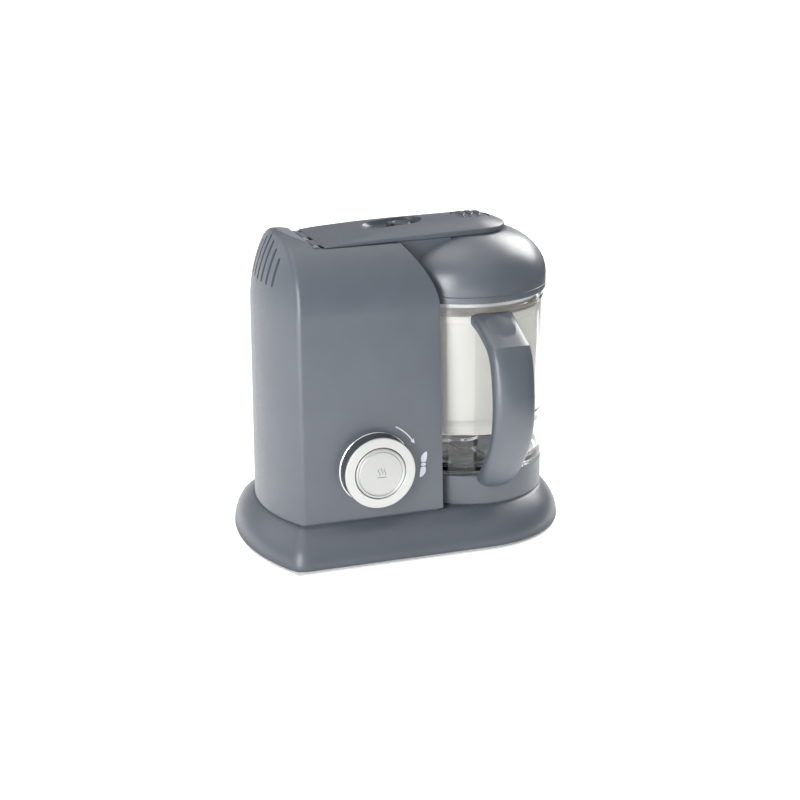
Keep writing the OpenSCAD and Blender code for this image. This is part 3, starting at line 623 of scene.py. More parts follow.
def tower_solid(name, t, zb, rl, rr_, lip):
    """The tower's outside at inset t, as one closed solid with rounded ends."""
    a, b = 59.9 - t, 56.9 - t
    sec = []
    if lip:
        sec += [(61.3 - t - 1.0, zb, 1.0), (61.3 - t - 0.95, zb + 0.7, 0.95), (61.3 - t - 0.3, zb + 1.0, 0.3), (61.3 - t, zb + 1.5, 0.0)]
    else:
        sec += [(61.3 - t, zb, 0.0)]
    z0 = sec[-1][1]
    for k in range(1, 19):
        z = lerp(z0, 185.0, k / 18)
        sec.append((lerp(61.3, 59.9, (z - 30.4) / 154.6) - t, z, 0.0))
    nq = 46
    for k in range(0, nq + 1):
        q = pi / 2 * (1 - k / nq)
        sec.append((a * max(0.0, math.sin(q)) ** (2 / 2.1), 189 + b * max(0.0, math.cos(q)) ** (2 / 2.1), 0.0))
    # inward normals
    nor = []
    for i, (y, z, e) in enumerate(sec):
        if z < 189:
            nor.append((-1.0, 0.0))
            continue
        i0, i1 = max(0, i - 1), min(len(sec) - 1, i + 1)
        dy, dz = sec[i1][0] - sec[i0][0], sec[i1][1] - sec[i0][1]
        l = math.hypot(dy, dz) or 1
        nor.append((-dz / l, dy / l))
    nor[-1] = (0.0, -1.0)

    def columns(i, side):
        """Left fillet, arch line and right fillet points of section point i on one side (side -1 front, 1 rear)."""
        y, z, e = sec[i]
        ny, nz = nor[i]

        def left(d):
            yy, zz = y + ny * d, z + nz * d
            return (xleft(yy, zz, t + e), side * yy, zz)

        def rght(d):
            yy, zz = y + ny * d, z + nz * d
            return (xright(yy, t + e), side * yy, zz)
        E, B = Vector(left(0)), Vector(left(rl))
        A = E + Vector((rl, 0, 0))
        E2, B2 = Vector(rght(0)), Vector(rght(rr_))
        A2 = E2 - Vector((rr_, 0, 0))
        w = 0.75
        lf, rf = [], []
        for k in range(7):
            s = k / 6
            c0, c1, c2 = (1 - s) ** 2, 2 * s * (1 - s) * w, s * s
            lf.append(tuple((B * c0 + E * c1 + A * c2) / (c0 + c1 + c2)))
        for k in range(5):
            s = k / 4
            c0, c1, c2 = (1 - s) ** 2, 2 * s * (1 - s) * w, s * s
            rf.append(tuple((A2 * c0 + E2 * c1 + B2 * c2) / (c0 + c1 + c2)))
        mid = [tuple(A.lerp(A2, s / 26)) for s in range(27)]
        return lf, mid, rf

    verts, faces = [], []
    n = len(sec)
    cols = {}
    for side in (-1, 1):
        cols[side] = [columns(i, side) for i in range(n)]
        rows = [lf + mid[1:-1] + rf for lf, mid, rf in cols[side]]
        patch(rows, verts, faces)
    for which, idx in (("l", 0), ("r", 2)):
        rows = []
        for i in range(n):
            pf = cols[-1][i][idx][0 if idx == 0 else -1]
            pb = cols[1][i][idx][0 if idx == 0 else -1]
            row = []
            K = 44
            e = sec[i][2]
            for k in range(K + 1):
                y = lerp(pf[1], pb[1], k / K)
                z = pf[2]
                if k in (0, K):
                    row.append(pf if k == 0 else pb)
                else:
                    row.append(((xleft(y, z, t + e) if idx == 0 else xright(y, t + e)), y, z))
            rows.append(row)
        patch(rows, verts, faces)
        if which == "l":
            lrow = rows[0]
        else:
            rrow = rows[0]
    # bottom
    front = [p for p in cols[-1][0][0]] + cols[-1][0][1][1:-1] + cols[-1][0][2]
    back = [p for p in cols[1][0][0]] + cols[1][0][1][1:-1] + cols[1][0][2]
    loop = front + rrow[1:-1] + back[::-1] + lrow[1:-1][::-1]
    base = len(verts)
    verts.extend(loop)
    faces.append(tuple(range(base, base + len(loop))))
    return make(name, verts, faces)


def top_cut(name, t):
    o = [(-175, 246 - t), (-149 + 0.2 * t, 246 - t), (-131.5 + 0.2 * t, 239.6 - 1.05 * t), (-131.5 + 0.2 * t, 236 - t), (-25, 236 - t), (-25, 262), (-175, 262)]
    return prism(name, o, -80, 80, "y")


VENT_STEP = 9.4


def vent(i):
    """A slot with a round floor that runs up the bulged end."""
    y0 = i * VENT_STEP
    top = (243.0, 240.0, 236.0, 230.5)[abs(i)]
    rings, n = [], 24
    zs = [209.0, 209.1, 209.35, 209.8, 210.4, 211.2]
    zs += [lerp(211.2, top - 2.2, k / 12) for k in range(1, 13)] + [top - 1.4, top - 0.8, top - 0.35, top - 0.1, top]
    for z in zs:
        d = max(211.2 - z, z - (top - 2.2), 0.0) / 2.2
        g = max(0.05, math.sqrt(max(0.0, 1 - d * d)))
        x = xleft(y0, z, 0)
        rings.append([(x + 0.6 + (5.4 if math.cos(2 * pi * k / n) > 0 else 3.0) * spow(math.cos(2 * pi * k / n), 0.5) * (0.4 + 0.6 * g), y0 + 1.55 * g * spow(math.sin(2 * pi * k / n), 0.6), z) for k in range(n)])
    return make("vent", *loft(rings))


outer = tower_solid("tower_outer", 0.0, 30.4, 2.6, 1.3, True)
inner = tower_solid("tower_inner", 2.5, 28.0, 1.2, 1.0, False)
cut(inner, top_cut("ti", 2.5), slab("pi", (-135.1, -33, 226), (-117, 33, 262)))
cut(outer, top_cut("to", 0.0), slab("po", (-132.6, -30.5, 228.5), (-119.5, 30.5, 262)), rod("mo", (-96, 0, 228), (-96, 0, 244), 14.2, 72),
    rod("ko", (-93.6, -66, 70.7), (-93.6, -50, 70.7), 5.0), rod("so", (-84, 0, 226), (-60, 0, 226), 5.2), *[vent(i) for i in range(-3, 4)])
cut(outer, inner)
front = copy_of(outer, "tower_shell_front")
cut(front, slab("h1", (-200, -90, 20), (0, -0.12, 270)), op="INTERSECT")
rear = copy_of(outer, "tower_shell_rear")
cut(rear, slab("h2", (-200, 0.12, 20), (0, 90, 270)), op="INTERSECT")
bpy.data.objects.remove(outer)
done(front, "base", M_shell, "shell", "tower_front", angle=28)
done(rear, "base", M_shell, "shell", "tower_rear", angle=28)


# ---------------------------------------------------------------- knob
KX, KZ = -93.6, 70.7
bez = lathe("knob_back_ring", rounded([(5.2, 61.0, 0), (28.3, 61.0, 0), (28.9, 61.2, 0.2), (28.9, 62.1, 0.35), (28.3, 62.5, 0.25), (27.2, 62.5, 0.1), (27.0, 62.2, 0), (5.2, 62.2, 0)], 3), 160, (KX, KZ), "y")
done(bez, "base", M_chrome, "bezel", "knob_bezel")
R1, B1 = 28.0, 19.6
cup = lathe("knob_side", rounded([(3, 62.9, 0), (27.4, 62.9, 0.3), (28, 63.5, 0.4), (28, 71.9, 0.3), (27.2, 72.4, 0.2), (21, 72.4, 0), (21, 71.8, 0), (19.95, 71.8, 0), (19.95, 65.2, 0), (3, 65.2, 0)], 3), 180, (KX, KZ), "y")
# fine grip ribs on the side
bm = bmesh.new()
bm.from_mesh(cup.data)
for v in bm.verts:
    x, z = v.co.x * 1000 - SX - KX, v.co.z * 1000 - KZ
    r = math.hypot(x, z)
    if r > 27.6:
        a = math.atan2(z, x)
        k = 1 - (0.12 / 28) * (0.5 + 0.5 * math.cos(a * 90))
        v.co.x = (x * k + KX + SX) * 0.001
        v.co.z = (z * k + KZ) * 0.001
bm.to_mesh(cup.data)
bm.free()
done(cup, "knob", M_knobside, "knob_dark", "knob_cup")
face = lathe("knob_front_ring", rounded([(20.05, 71.85, 0), (21.1, 71.85, 0), (21.1, 72.5, 0), (27.6, 72.5, 0.1), (27.75, 72.9, 0.3), (27.2, 73.6, 0.5), (20.5, 73.75, 0.25), (20.05, 73.4, 0.2)], 4), 180, (KX, KZ), "y")
done(face, "knob", M_knob, "knob_silver", "knob_face")
btn = lathe("push_button", rounded([(0, 69.2, 0), (19.6, 69.2, 0), (19.6, 73.7, 0.3), (19.1, 74.3, 0.5), (17.9, 74.4, 0.2), (17.4, 73.9, 0.2), (16.9, 73.9, 0.2), (16.5, 74.35, 0.3), (10, 74.55, 4), (0, 74.6, 0)], 4), 180, (KX, KZ), "y")
done(btn, "button", M_button, "button_silver", "steam_button")

# ---------------------------------------------------------------- printed control symbols
def front_y(z):
    return lerp(61.3, 59.9, (z - 30.4) / 154.6)


def decal(name, outline, mat, proud=0.12, body="base", slot="pan", base_y=None):
    """A thin raised symbol from an outline of (x, z) on the housing's front, or on a flat face at base_y."""
    def yy(z, d):
        return -((front_y(z) if base_y is None else base_y) + d)
    rings = [[(x, yy(z, -0.25), z) for x, z in outline], [(x, yy(z, proud), z) for x, z in outline]]
    ob = make(name, *loft(rings))
    return done(ob, body, mat, slot, flat=True)


def ribbon(pts, w):
    """Outline of a line of width w through (x, z) points."""
    a, b = [], []
    for i, p in enumerate(pts):
        q0, q1 = Vector(pts[max(0, i - 1)]), Vector(pts[min(len(pts) - 1, i + 1)])
        d = (q1 - q0).normalized()
        n = Vector((-d.y, d.x)) * w / 2
        a.append((p[0] + n.x, p[1] + n.y))
        b.append((p[0] - n.x, p[1] - n.y))
    return a + b[::-1]


M_print = plastic("printed_grey", (0.62, 0.65, 0.72), 0.45, grain=0.03)
M_print2 = plastic("printed_mid_grey", (0.13, 0.14, 0.15), 0.45, grain=0.03)
# turning arrow
arc = []
for k in range(13):
    a = math.radians(lerp(62, 33, k / 12))
    arc.append((KX + 34.9 * math.cos(a), KZ + 34.9 * math.sin(a)))
decal("turn_arrow_line", ribbon(arc, 0.9), M_print)
t0, t1 = Vector(arc[-1]), Vector(arc[-2])
dd = (t0 - t1).normalized()
nn = Vector((-dd.y, dd.x))
decal("turn_arrow_head", [tuple(t0 + nn * 1.7), tuple(t0 - nn * 1.7), tuple(t0 + dd * 3.6)], M_print)
# blade symbol: a hub between two tapering blades
hub = Vector((-55.3, 69.1))
lobe = [(-1.5, 1.9), (-1.9, 3.1), (-2.0, 4.8), (-1.7, 6.2), (-1.1, 7.4), (-0.3, 8.4), (0.8, 9.3), (2.0, 9.9), (2.6, 9.95), (2.9, 9.4), (3.0, 8.2), (2.9, 6.6), (2.7, 5.0), (2.4, 3.4), (1.9, 2.0)]
for nm, f in (("blade_mark_up", 1), ("blade_mark_down", -1)):
    decal(nm, [(hub.x + f * u, hub.y + f * v) for u, v in lobe], M_print)
decal("blade_mark_hub", [(hub.x + 2.0 * math.cos(2 * pi * k / 20), hub.y + 1.45 * math.sin(2 * pi * k / 20)) for k in range(20)], M_print)
# steam symbol on the button: three wavy lines over a short bar
cx, cz = KX + 0.6, KZ + 0.4
for j, dx in enumerate((-2.3, 0.0, 2.3)):
    pts = [(cx + dx + 0.75 * math.sin(2 * pi * k / 12), cz - 1.6 + 5.0 * k / 12 + (0.8 if j == 1 else 0)) for k in range(13)]
    decal("steam_mark_%d" % j, ribbon(pts, 0.5), M_print2, 0.08, "button", "button_silver", 74.56)
decal("steam_mark_bar", ribbon([(cx - 3.6, cz - 3.3), (cx + 3.6, cz - 3.3)], 0.55), M_print2, 0.08, "button", "button_silver", 74.56)

# ---------------------------------------------------------------- bowl
prof = rounded([(4.7, 56.5, 0), (9, 56.5, 0), (9, 52.2, 0.2), (11, 52.2, 0.3), (11, 56.5, 0.4), (55, 56.5, 0.6), (55, 48.6, 0.3), (57.8, 48.6, 0.8), (57.8, 54.9, 0.4), (60.9, 54.9, 0.8),
                (62.1, 56.6, 1.2), (62.1, 184.0, 0.3), (62.5, 184.5, 0.2), (62.5, 186.4, 0.3), (62.1, 186.9, 0.3), (62.1, 193, 0.8), (59.5, 193, 0.6),
                (59.5, 99, 1), (57.6, 93.7, 0.6), (57.6, 91.5, 0.6), (59.5, 87, 1), (59.5, 64, 3), (56, 59.9, 2), (52, 59.4, 1), (9.2, 59.4, 0.6), (8, 63, 0.5), (4.7, 63, 0)], 4)
bowl = lathe("bowl_clear", prof, 192)
# the turned clear bowl takes the place of the CAD bowl and its foot
done(bowl, "bowl", M_bowl, "bowl_clear", "bowl", *[n for n in ("bowl_foot",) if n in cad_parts], angle=40)


def rounded_box(name, lo, hi, r, seg=3):
    """A box with rounded vertical edges and softened top and bottom."""
    x0, y0, z0 = lo
    x1, y1, z1 = hi
    def ring(inset, z):
        o = rounded([(x0 + inset, y0 + inset, max(0.01, r - inset * 0.5)), (x1 - inset, y0 + inset, max(0.01, r - inset * 0.5)), (x1 - inset, y1 - inset, max(0.01, r - inset * 0.5)), (x0 + inset, y1 - inset, max(0.01, r - inset * 0.5))], seg)
        return [(x, y, z) for x, y in o]
    e = min(r * 0.5, (z1 - z0) * 0.4)
    return make(name, *loft([ring(e, z0), ring(e * 0.3, z0 + e * 0.3), ring(0, z0 + e), ring(0, z1 - e), ring(e * 0.3, z1 - e * 0.3), ring(e, z1)]))


def interp(tab, s):
    """Catmull-Rom through a list of (parameter, a, b)."""
    for i in range(len(tab) - 1):
        if s <= tab[i + 1][0] or i == len(tab) - 2:
            break
    p0, p1, p2, p3 = tab[max(0, i - 1)], tab[i], tab[i + 1], tab[min(len(tab) - 1, i + 2)]
    t = (s - p1[0]) / (p2[0] - p1[0])
    t = min(1.0, max(0.0, t))
    out = []
    for j in (1, 2):
        m1 = (p2[j] - p0[j]) / max(1e-9, p2[0] - p0[0]) * (p2[0] - p1[0])
        m2 = (p3[j] - p1[j]) / max(1e-9, p3[0] - p1[0]) * (p2[0] - p1[0])
        out.append((2 * t ** 3 - 3 * t * t + 1) * p1[j] + (t ** 3 - 2 * t * t + t) * m1 + (-2 * t ** 3 + 3 * t * t) * p2[j] + (t ** 3 - t * t) * m2)
    return out


# handle: outside and inside stations (parameter, reach, height)
g_out1 = [(0, 57, 185.1), (0.45, 69, 181.2), (0.75, 84, 175.1), (1.0, 101, 167.3)]
g_out2 = [(1.0, 101, 167.3), (1.25, 106.3, 158.5), (1.6, 110.4, 147), (2.0, 113, 133), (2.5, 113.5, 119), (3.0, 111.6, 106), (3.5, 107.2, 94.4), (4.0, 100.2, 82.4), (4.5, 92.0, 70.8), (5.0, 84.0, 60.0), (5.3, 79.0, 53.6), (5.6, 73.6, 48.9), (5.8, 68.8, 47.2), (6.0, 60.0, 47.0)]
g_in = [(0, 57, 172), (0.5, 69.5, 167.7), (0.8, 78, 163.8), (1.0, 83.5, 160.6), (1.25, 88, 156.4), (1.6, 91.8, 149.5), (2.0, 94.6, 138), (2.5, 96.6, 122), (3.0, 96.2, 107), (3.5, 93.2, 94), (4.0, 87.6, 82.5), (4.5, 80.2, 73), (5.0, 72.2, 65.4), (5.3, 68.0, 62.0), (5.6, 64.0, 59.6), (5.8, 61.4, 58.6), (6.0, 57, 57.6)]
rings = []
ss = [k * 0.0834 for k in range(12)] + [1.0] + [1.0 + k * 0.1 for k in range(1, 51)]
for s in ss:
    o = interp(g_out1, s) if s <= 1.0 else interp(g_out2, s)
    i_ = interp(g_in, s)
    w = 16.1 + 1.0 * sstep(0.55, 0.0, s)
    # the foot closes in to a rounded tongue
    if s > 4.4:
        w *= max(0.5, (1 - min(1.0, max(0.0, (s - 4.4) / 1.65)) ** 2.6)) ** 0.5
    mid = Vector(((o[0] + i_[0]) / 2, (o[1] + i_[1]) / 2))
    half = Vector((o[0] - i_[0], o[1] - i_[1])) / 2
    ring = []
    m = 72
    no = lerp(4.0, 2.7, sstep(0.95, 1.9, s))
    for k in range(m):
        a = 2 * pi * k / m
        ca, sa = math.cos(a), math.sin(a)
        n = no if sa > 0 else 2.7
        x = w * spow(ca, 2 / (no * 0.9) if sa > 0 else 2 / 2.7)
        f = spow(sa, 2 / n)
        q = mid + half * f
        ring.append((x, -q.x, q.y))
    rings.append(ring)
handle = make("bowl_grip", *loft(rings))
# dish for the thumb
rings = []
slope = math.radians(-22.6)
cy, cz0 = 78.0, 177.6
n, m = 40, 18
for i in range(1, m):
    ph = pi * i / m
    ring = []
    for k in range(n):
        a = 2 * pi * k / n
        u = 15.5 * math.sin(ph) * math.cos(a)
        v = 20.0 * math.sin(ph) * math.sin(a)
        h = 6.6 * math.cos(ph) + 4.4
        y = cy + v * math.cos(slope) - h * math.sin(slope)
        z = cz0 + v * math.sin(slope) + h * math.cos(slope)
        ring.append((u, -y, z))
    rings.append(ring)
dish = make("dish", *loft(rings))
cut(handle, dish, rod("bowl_space", (0, 0, 40), (0, 0, 195), 62.13, 192), rod("seat_space", (0, 0, 40), (0, 0, 55.2), 62.5, 192))
done(handle, "bowl", M_handle, "handle_shell", "bowl_handle", angle=26)

# ---------------------------------------------------------------- basket
def scallop_z(a):
    return 84.6 + 1.5 * abs(math.sin(a * 9))


seg = 216
rings = []
for k in range(seg):
    a = 2 * pi * k / seg
    zl = scallop_z(a)
    rib = 0.0
    prof = [(51.4, 96), (51.4, zl + 0.4), (51.8, zl), (52.8, zl), (53.2, zl + 0.4), (53.4, 93.2), (54.2, 94.2), (56, 96.2), (57.0, 99.6), (57.9, 173.6), (58.9, 175), (59.0, 175.6), (59.0, 179.6), (58.6, 180.4), (57.6, 180.5),
            (57.0, 180.0), (56.5, 175.4), (55.5, 101), (54.6, 98.4), (52.6, 96.3)]
    rings.append([(r * math.cos(a), r * math.sin(a), z) for r, z in prof])
basket = make("steam_basket_wall", *loft(rings, closed=True))
done(basket, "basket", M_basket, "basket_frost", "steam_basket", angle=40)
bfloor = lathe("steam_basket_floor", rounded([(0, 94.0, 0), (51.3, 94.0, 0.3), (51.3, 96.0, 0.3), (0, 96.0, 0)], 2), 144)
holes = []
for r, c in ((12, 6), (24, 6), (36, 6), (46, 6)):
    for i in range(c):
        a = math.radians(60 * i + r * 3)
        holes.append(rod("hole", (r * math.cos(a), r * math.sin(a), 92), (r * math.cos(a), r * math.sin(a), 98), 2.2, 24))
cut(bfloor, join("holes", holes))
done(bfloor, "basket", M_basket, "basket_frost", "basket_floor", angle=40)

# ---------------------------------------------------------------- lid
def dome_r(z):
    return 64.0 if z < 200.8 else 64.0 * max(0.0, 1 - ((z - 200.8) / 40.1) ** 2.11) ** 0.459


out = [(62.7, 191.2), (63.3, 191.0), (63.75, 191.2), (64.0, 191.7), (dome_r(194), 194), (dome_r(195.6) - 0.02, 195.55), (dome_r(195.8) - 0.32, 195.85), (dome_r(196.1) - 0.42, 196.1), (dome_r(196.4) - 0.32, 196.35), (dome_r(196.6) - 0.02, 196.65)]
z = 198.0
while z < 201:
    out.append((dome_r(z), z))
    z += 1.0
for k in range(0, 41):
    q = k / 40
    z = 201 + 35.3 * (1 - (1 - q) ** 1.25)
    out.append((dome_r(z), z))
inn = []
for k in range(0, 30):
    q = k / 29
    z = 192.2 + 42.7 * (1 - (1 - q) ** 1.2)
    inn.append((max(0.0, dome_r(z) - 1.5) if z < 234.6 else 0.0, z))
inn = [p for p in inn if p[0] > 1]
prof = out + [(0, 236.3), (0, 234.8), (33.5, 234.6)] + inn[::-1][1:]
dome = lathe("lid_dome_shell", prof, 216)
# neck block that carries the dome's inlet
rings = []
for k in range(25):
    x = lerp(-74.0, -22.0, k / 24)
    zb = 206 if x > -40 else lerp(206, 222, (-40 - x) / 40)
    hw = lerp(32.2, 29.6, (x + 76) / 64)
    o = rounded([(-hw, zb, 5.0), (hw, zb, 5.0), (hw, 236.3, 0.8), (-hw, 236.3, 0.8)], 6)
    rings.append([(x, y, z) for y, z in o])
neck = make("neck", *loft(rings))
cut(neck, rod("nc", (0, 0, 200), (0, 0, 240), 71.5, 192), op="INTERSECT")
cav = lathe("cavity", [(0, 195), (dome_r(195) - 1.45, 195)] + [(dome_r(z) - 1.5, z) for z in [197, 199, 201, 205, 209, 213, 217, 221, 225, 228, 231, 233, 234.5]] + [(0, 234.5)], 128)
cut(neck, cav, rod("in", (-80, 0, 226), (-50, 0, 226), 4.6, 48))
cut(dome, rod("in", (-80, 0, 226), (-50, 0, 226), 4.6, 48), op="DIFFERENCE")
cut(dome, neck, op="UNION")
done(dome, "lid", M_lid, "lid_shell", "lid_dome", angle=30)
# clear-white inside of the lid
prof = rounded([(0, 199.2, 0), (54.6, 199.2, 1.5), (54.6, 187.4, 0.4), (57.2, 186.9, 0.5), (58.15, 190, 0.1), (56.7, 190, 0), (56.7, 192.2, 0), (58.15, 192.2, 0.1), (58.15, 198, 0.8), (62.1, 202.8, 0.4), (61.9, 204.2, 0.4), (60.2, 204.2, 0.4), (57, 201, 1), (0, 201, 0)], 3)
lin = lathe("lid_inner_cup", prof, 168)
cut(lin, join("holes", [rod("hole", (30 * math.cos(i * pi / 3), 30 * math.sin(i * pi / 3), 195), (30 * math.cos(i * pi / 3), 30 * math.sin(i * pi / 3), 204), 3.0, 32) for i in range(6)]))
done(lin, "lid", M_lidin, "lid_inner_white", "lid_inner", angle=40)
seal = lathe("lid_ring_seal", rounded([(56.75, 190.1, 0), (58.4, 190.1, 0.2), (59.0, 191.1, 0.6), (58.4, 192.1, 0.2), (56.75, 192.1, 0)], 4), 168)
done(seal, "lid", M_silicone, "silicone", "lid_seal", angle=50)

# ---------------------------------------------------------------- arm
FACET = [(-130, 236.3), (-122.8, 237.2), (-101, 239.9), (-82, 242.5), (-61, 244.7), (-45, 245.8), (-28, 247.0), (-10, 248.9), (40, 254.0)]
NX, NR = 2.0, 29.2


def half_w(x):
    return 34.6 - (34.6 - NR) / (NX + 122.8) * (x + 122.8)


def facet(x):
    for (a, za), (b, zb) in zip(FACET, FACET[1:]):
        if x <= b:
            return lerp(za, zb, (x - a) / (b - a))
    return FACET[-1][1]


def soft_min(a, b, k=1.1):
    h = max(0.0, k - abs(a - b)) / k
    return min(a, b) - h * h * k * 0.25


def crown(x, y):
    if x <= NX:
        u, zr = abs(y) / half_w(x), 238.5 + 0.016 * (x + 122.8)
    else:
        u, zr = math.hypot(x - NX, y) / NR, 238.5 + 0.016 * (NX + 122.8)
    return soft_min(zr + 7 * (1 - min(1.0, u) ** 2.3), facet(x))


def rim_drop(d, r=1.0):
    return 0.0 if d >= r else r - math.sqrt(max(0.0, r * r - (r - d) ** 2))


rho = [0, 0.08, 0.16, 0.24, 0.32, 0.4, 0.48, 0.55, 0.62, 0.68, 0.74, 0.79, 0.835, 0.87, 0.9, 0.925, 0.945, 0.96]
rho += [1 - 1.0 / 32 * (1 - math.sin(0.5 * pi * k / 7)) for k in range(0, 8)]
xs = [-122.8 + d for d in (0, 0.05, 0.2, 0.5, 0.9)]
x = -122.8
while x < NX:
    x += 1.6
    if x > xs[-1] + 0.4:
        xs.append(min(x, NX))
xs = sorted(set(xs))
both = [-r for r in reversed(rho[1:])] + rho
verts, faces = [], []
rows = []
for x in xs:
    e = 0.0 if x > -121.9 else 0.3 * (1 - min(1, (x + 122.8) / 0.9)) ** 2
    fit = min(1.0, crown(x, half_w(x)) - 236.3 - 0.35)
    rows.append([(x, half_w(x) * r, crown(x, half_w(x) * r) - fit * rim_drop((1 - abs(r)) * half_w(x)) - e * 0.6) for r in both])
patch(rows, verts, faces)
nq = 80
fan = []
for k in range(nq + 1):
    q = pi * k / nq
    bx, by = NR * math.sin(q), NR * math.cos(q)
    fan.append([(NX + bx * r, by * r, crown(NX + bx * r, by * r) - rim_drop((1 - r) * NR)) for r in rho])
patch(fan, verts, faces)
# walls down to the underside
edge = [row[-1] for row in rows] + [row[-1] for row in fan[1:-1]] + [row[0] for row in rows[::-1]]
edge += [p for p in rows[0][1:-1]]
ZB = 236.3
low1 = [(p[0], p[1], min(ZB + 0.8, p[2] - 0.08)) for p in edge]
low2 = []
for p in edge:
    v = Vector((p[0] + 40, p[1]))
    f = 0.9 / max(1.0, v.length)
    low2.append((p[0] - (p[0] + 40) * f, p[1] * (1 - f), ZB))
base = len(verts)
n = len(edge)
verts += edge + low1 + low2
for i in range(n):
    j = (i + 1) % n
    faces.append((base + i, base + j, base + n + j, base + n + i))
    faces.append((base + n + i, base + n + j, base + 2 * n + j, base + 2 * n + i))
faces.append(tuple(base + 2 * n + i for i in range(n)))
arm = make("arm_shell", verts, faces)
me = arm.data
bm = bmesh.new()
bm.from_mesh(me)
bmesh.ops.remove_doubles(bm, verts=bm.verts, dist=1.5e-5)
bmesh.ops.triangulate(bm, faces=[f for f in bm.faces if len(f.verts) > 8])
print("arm open edges", sum(1 for e in bm.edges if len(e.link_faces) != 2))
bm.to_mesh(me)
bm.free()


def stadium(x0, x1, r, z, n=40):
    o = []
    for k in range(n + 1):
        a = -pi / 2 + pi * k / n
        o.append((x1 + r * math.cos(a), r * math.sin(a), z))
    for k in range(n + 1):
        a = pi / 2 + pi * k / n
        o.append((x0 + r * math.cos(a), r * math.sin(a), z))
    return o


rings = [stadium(-64.0, -49.0, 11.6, 240.0), stadium(-64.6, -48.9, 12.1, 240.12), stadium(-65.6, -48.75, 12.5, 240.5), stadium(-67.6, -48.65, 12.75, 241.5), stadium(-69.6, -48.6, 12.85, 242.8), stadium(-71.2, -48.5, 12.95, 244.2), stadium(-72.2, -48.5, 13.0, 245.4), stadium(-72.5, -48.5, 13.0, 252)]
recess = make("recess", *loft(rings))


PX = 4.5


def oval(t, z, n=96):
    return [(PX + (15.5 + t) * math.cos(2 * pi * k / n), (14.5 + t) * math.sin(2 * pi * k / n), z) for k in range(n)]


def arm_outline(t, x0):
    o = [(x0, half_w(x0) - t), (x0, t - half_w(x0))]
    o += [(NX + (NR - t) * math.sin(pi * k / 48), -(NR - t) * math.cos(pi * k / 48)) for k in range(49)]
    return o


pocket = make("pocket", *loft([oval(0, 242.1), oval(0, 252)]))
plate_seat = prism("plate_seat", arm_outline(2.0, -110.3), 230, 237.7)
cut(arm, recess, pocket, plate_seat, rod("ps", (PX, 0, 230), (PX, 0, 250), 3.6, 32))
# hinge knuckles
for nm, y0 in (("k1", -24.0), ("k2", 5.4)):
    kn = rod(nm, (-127, y0, 234), (-127, y0 + 18.6, 234), 3.0, 40)
    web = slab(nm + "w", (-127, y0, 234.3), (-121.5, y0 + 18.6, 237.0))
    cut(kn, web, op="UNION")
    cut(kn, rod("bore", (-127, y0 - 2, 234), (-127, y0 + 21, 234), 1.56, 32))
    cut(arm, kn, op="UNION")
done(arm, "lid", M_arm, "arm_shell", "arm", angle=24)
plate = prism("arm_base_plate", arm_outline(2.3, -110.0), 236.3, 237.6)
cut(plate, rod("tp", (-96, 0, 230), (-96, 0, 250), 11.62, 72))
done(plate, "lid", M_under, "arm_under", "arm_base", angle=30)

# release pad with three crescent ridges
def pad_z(x, y):
    return crown(x, y) - 0.75


rr_list = [0, 0.2, 0.4, 0.6, 0.75, 0.86, 0.93, 0.965, 0.985, 1.0]
top = []
for r in rr_list:
    ring = []
    for k in range(72):
        a = 2 * pi * k / 72
        x, y = PX + 15.1 * r * math.cos(a), 14.1 * r * math.sin(a)
        ring.append((x, y, pad_z(x, y) - 0.6 * max(0.0, (r - 0.93) / 0.07) ** 2))
    top.append(ring)
bottom = [(p[0], p[1], min(244.7, p[2] - 0.3)) for p in top[-1]]
rings = top[1:] + [bottom, [(PX + (p[0] - PX) * 0.2, p[1] * 0.2, 244.7) for p in bottom]]
pad = make("release_pad_top", *loft(rings, cap0=True, cap1=True))
ridges = []
for xc in (PX - 6.5, PX, PX + 6.5):
    rings = []
    for k in range(33):
        y = lerp(-9.6, 9.6, k / 32)
        u = abs(y) / 9.6
        xo = xc - 12 + math.sqrt(196 - y * y)
        xi = xc - 14.2 + math.sqrt(14.4 ** 2 - y * y) - 0.9
        th = max(0.15, (xo - xi)) * (1 - 0.55 * u ** 3)
        xm = (xo + xi) / 2
        h = 2.1 * math.sqrt(max(0.02, 1 - u ** 2.6))
        zb = pad_z(xm, y) - 0.5
        sec = []
        for j in range(15):
            a = pi * j / 14
            sec.append((xm - th / 2 * spow(math.cos(a), 0.85) + 0.25 * math.sin(a), y, zb + (h + 0.5) * math.sin(a) ** 0.75))
        rings.append(sec)
    ridges.append(make("ridge", *loft(rings)))
stem = rod("pad_stem", (PX, 0, 240.2), (PX, 0, 245.4), 3.0, 32)
pad = join("release_pad_top", [pad] + ridges + [stem])
done(pad, "pad", M_pad, "pad_shell", "release_pad", angle=36)

# catch in the recess
thumb = lathe("catch_thumb", rounded([(0, 240.3, 0), (8, 240.3, 0.3), (8, 243.6, 0.4), (7.5, 244.3, 0.4), (6.6, 244.3, 0.4), (5.6, 243.5, 1.0), (3, 243.2, 1.5), (0, 243.1, 0)], 4), 72, (-52, 0))
bar = rounded_box("catch_bar", (-60, -8, 240.3), (-44, 8, 242.7), 2.0)
nib = rounded_box("catch_nib", (-62, -4, 240.3), (-58, 4, 244.7), 1.0)
catch = join("catch_slider", [thumb, bar, nib])
done(catch, "catch", M_dark, "catch_plastic", "recess_catch", angle=36)

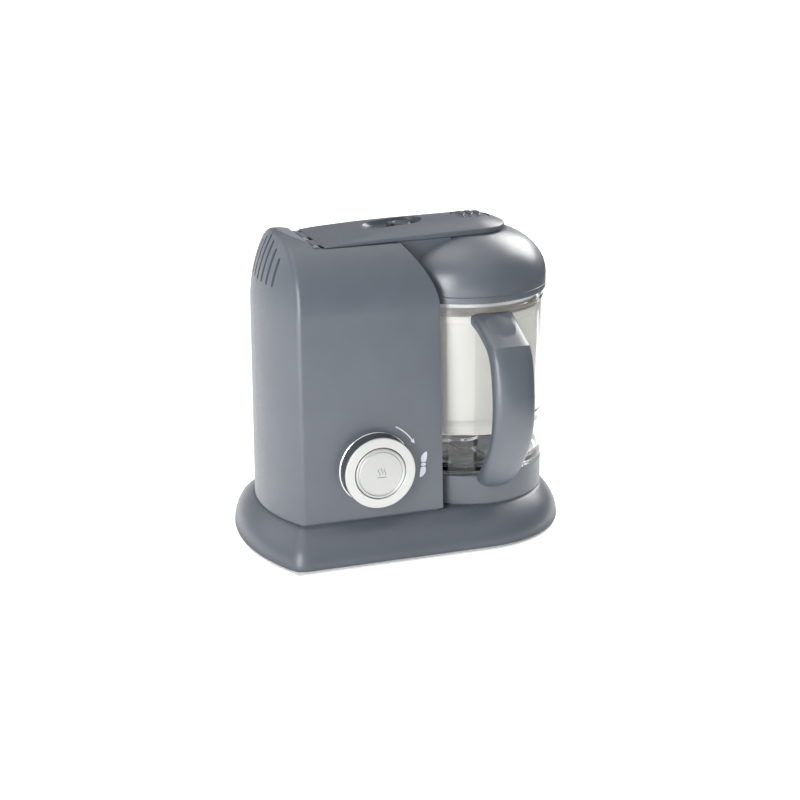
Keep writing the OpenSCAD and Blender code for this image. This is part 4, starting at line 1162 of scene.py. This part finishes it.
# ---------------------------------------------------------------- blades
def blade(name, R, w, z, spin, tilt):
    rings = []
    ca, sa = math.cos(math.radians(spin)), math.sin(math.radians(spin))
    ct, st = math.cos(math.radians(tilt)), math.sin(math.radians(tilt))
    for i in range(25):
        f = i / 24
        x = lerp(7.4, R, f)
        lo = -4 - w * math.sin(0.5 * pi * f)
        hi = 4 - (w + 6.5) * f ** 1.8
        m = lerp(lo, hi, 0.42)
        t = 0.6 * (1 - 0.35 * f)
        sec = [(lo + 0.02, 0.6), (lerp(lo, m, 0.5), 0.6 - t * 0.5), (m, 0.6 - t), (hi - 0.2, 0.6 - t), (hi, 0.6 - t * 0.5), (hi, 0.6 + t * 0.5), (hi - 0.2, 0.6 + t), (m, 0.6 + t), (lerp(lo, m, 0.5), 0.6 + t * 0.5)]
        ring = []
        for y, h in sec:
            px, py, pz = x * ct + h * st, y, -x * st + h * ct
            ring.append((px * ca - py * sa, px * sa + py * ca, z + pz))
        rings.append(ring)
    return make(name, *loft(rings))


bl = [blade("b1", 46, 5, 67, 20, 6), blade("b2", 46, 5, 67, 200, 6), blade("b3", 40, 4, 75, 110, -14), blade("b4", 40, 4, 75, 290, -14)]
collar = lathe("b5", rounded([(12.1, 66.1, 0), (12.6, 66.1, 0.2), (12.2, 68.4, 0.2), (11.7, 68.4, 0)], 2), 96)
blades = join("cutting_blades", bl + [collar])
done(blades, "blades", M_blade, "blade_steel", "blade_set", angle=20)
hubm = lathe("blade_hub_body", rounded([(3, 63.3, 0), (9.4, 63.3, 0), (9.4, 62, 0), (10.8, 61, 0.3), (12.6, 61, 0.4), (12.0, 66, 1), (9.2, 72, 3), (8.5, 79, 2), (6.6, 83.2, 2), (0, 84.5, 0), (0, 74, 0), (3, 74, 0)], 5), 96)
done(hubm, "blades", M_black, "hub_plastic", "blade_hub", angle=36)

# ---------------------------------------------------------------- CAD pieces that keep their shape
keep = {
    "base_pan": M_pan, "rubber_feet": M_foot, "base_screws": M_screw, "cord_gland": M_gland, "terminal_block": M_ivory, "bearing_block": M_brass, "motor_can": M_motor,
    "motor_bracket": M_bracket, "motor_screws": M_screw, "drive_belt": M_belt, "water_tank": M_tank, "tank_neck": M_tank, "tank_cradle": M_inner, "heating_element": M_heater,
    "control_board": M_board, "rotary_switch": M_ivory, "steam_nozzle": M_silicone, "hinge_lugs": M_hinge, "hinge_pin": M_pin, "motor_rotor": M_motor, "motor_pulley": M_black,
    "drive_shaft": M_pin, "driven_pulley": M_black, "drive_dog": M_black, "knob_stem": M_screw, "button_stem": M_ivory, "button_spring": M_screw, "shaft_bush": M_brass,
    "blade_socket": M_black, "inlet_seal": M_silicone, "tank_plug": M_silicone, "pad_spring": M_screw,
}
for name, mat in keep.items():
    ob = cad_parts.get(name)
    if ob is None:
        print("no node", name)
        continue
    for s in ob.material_slots:
        s.material = mat
    m = ob.modifiers.new("normals", "WEIGHTED_NORMAL")
    m.keep_sharp = True
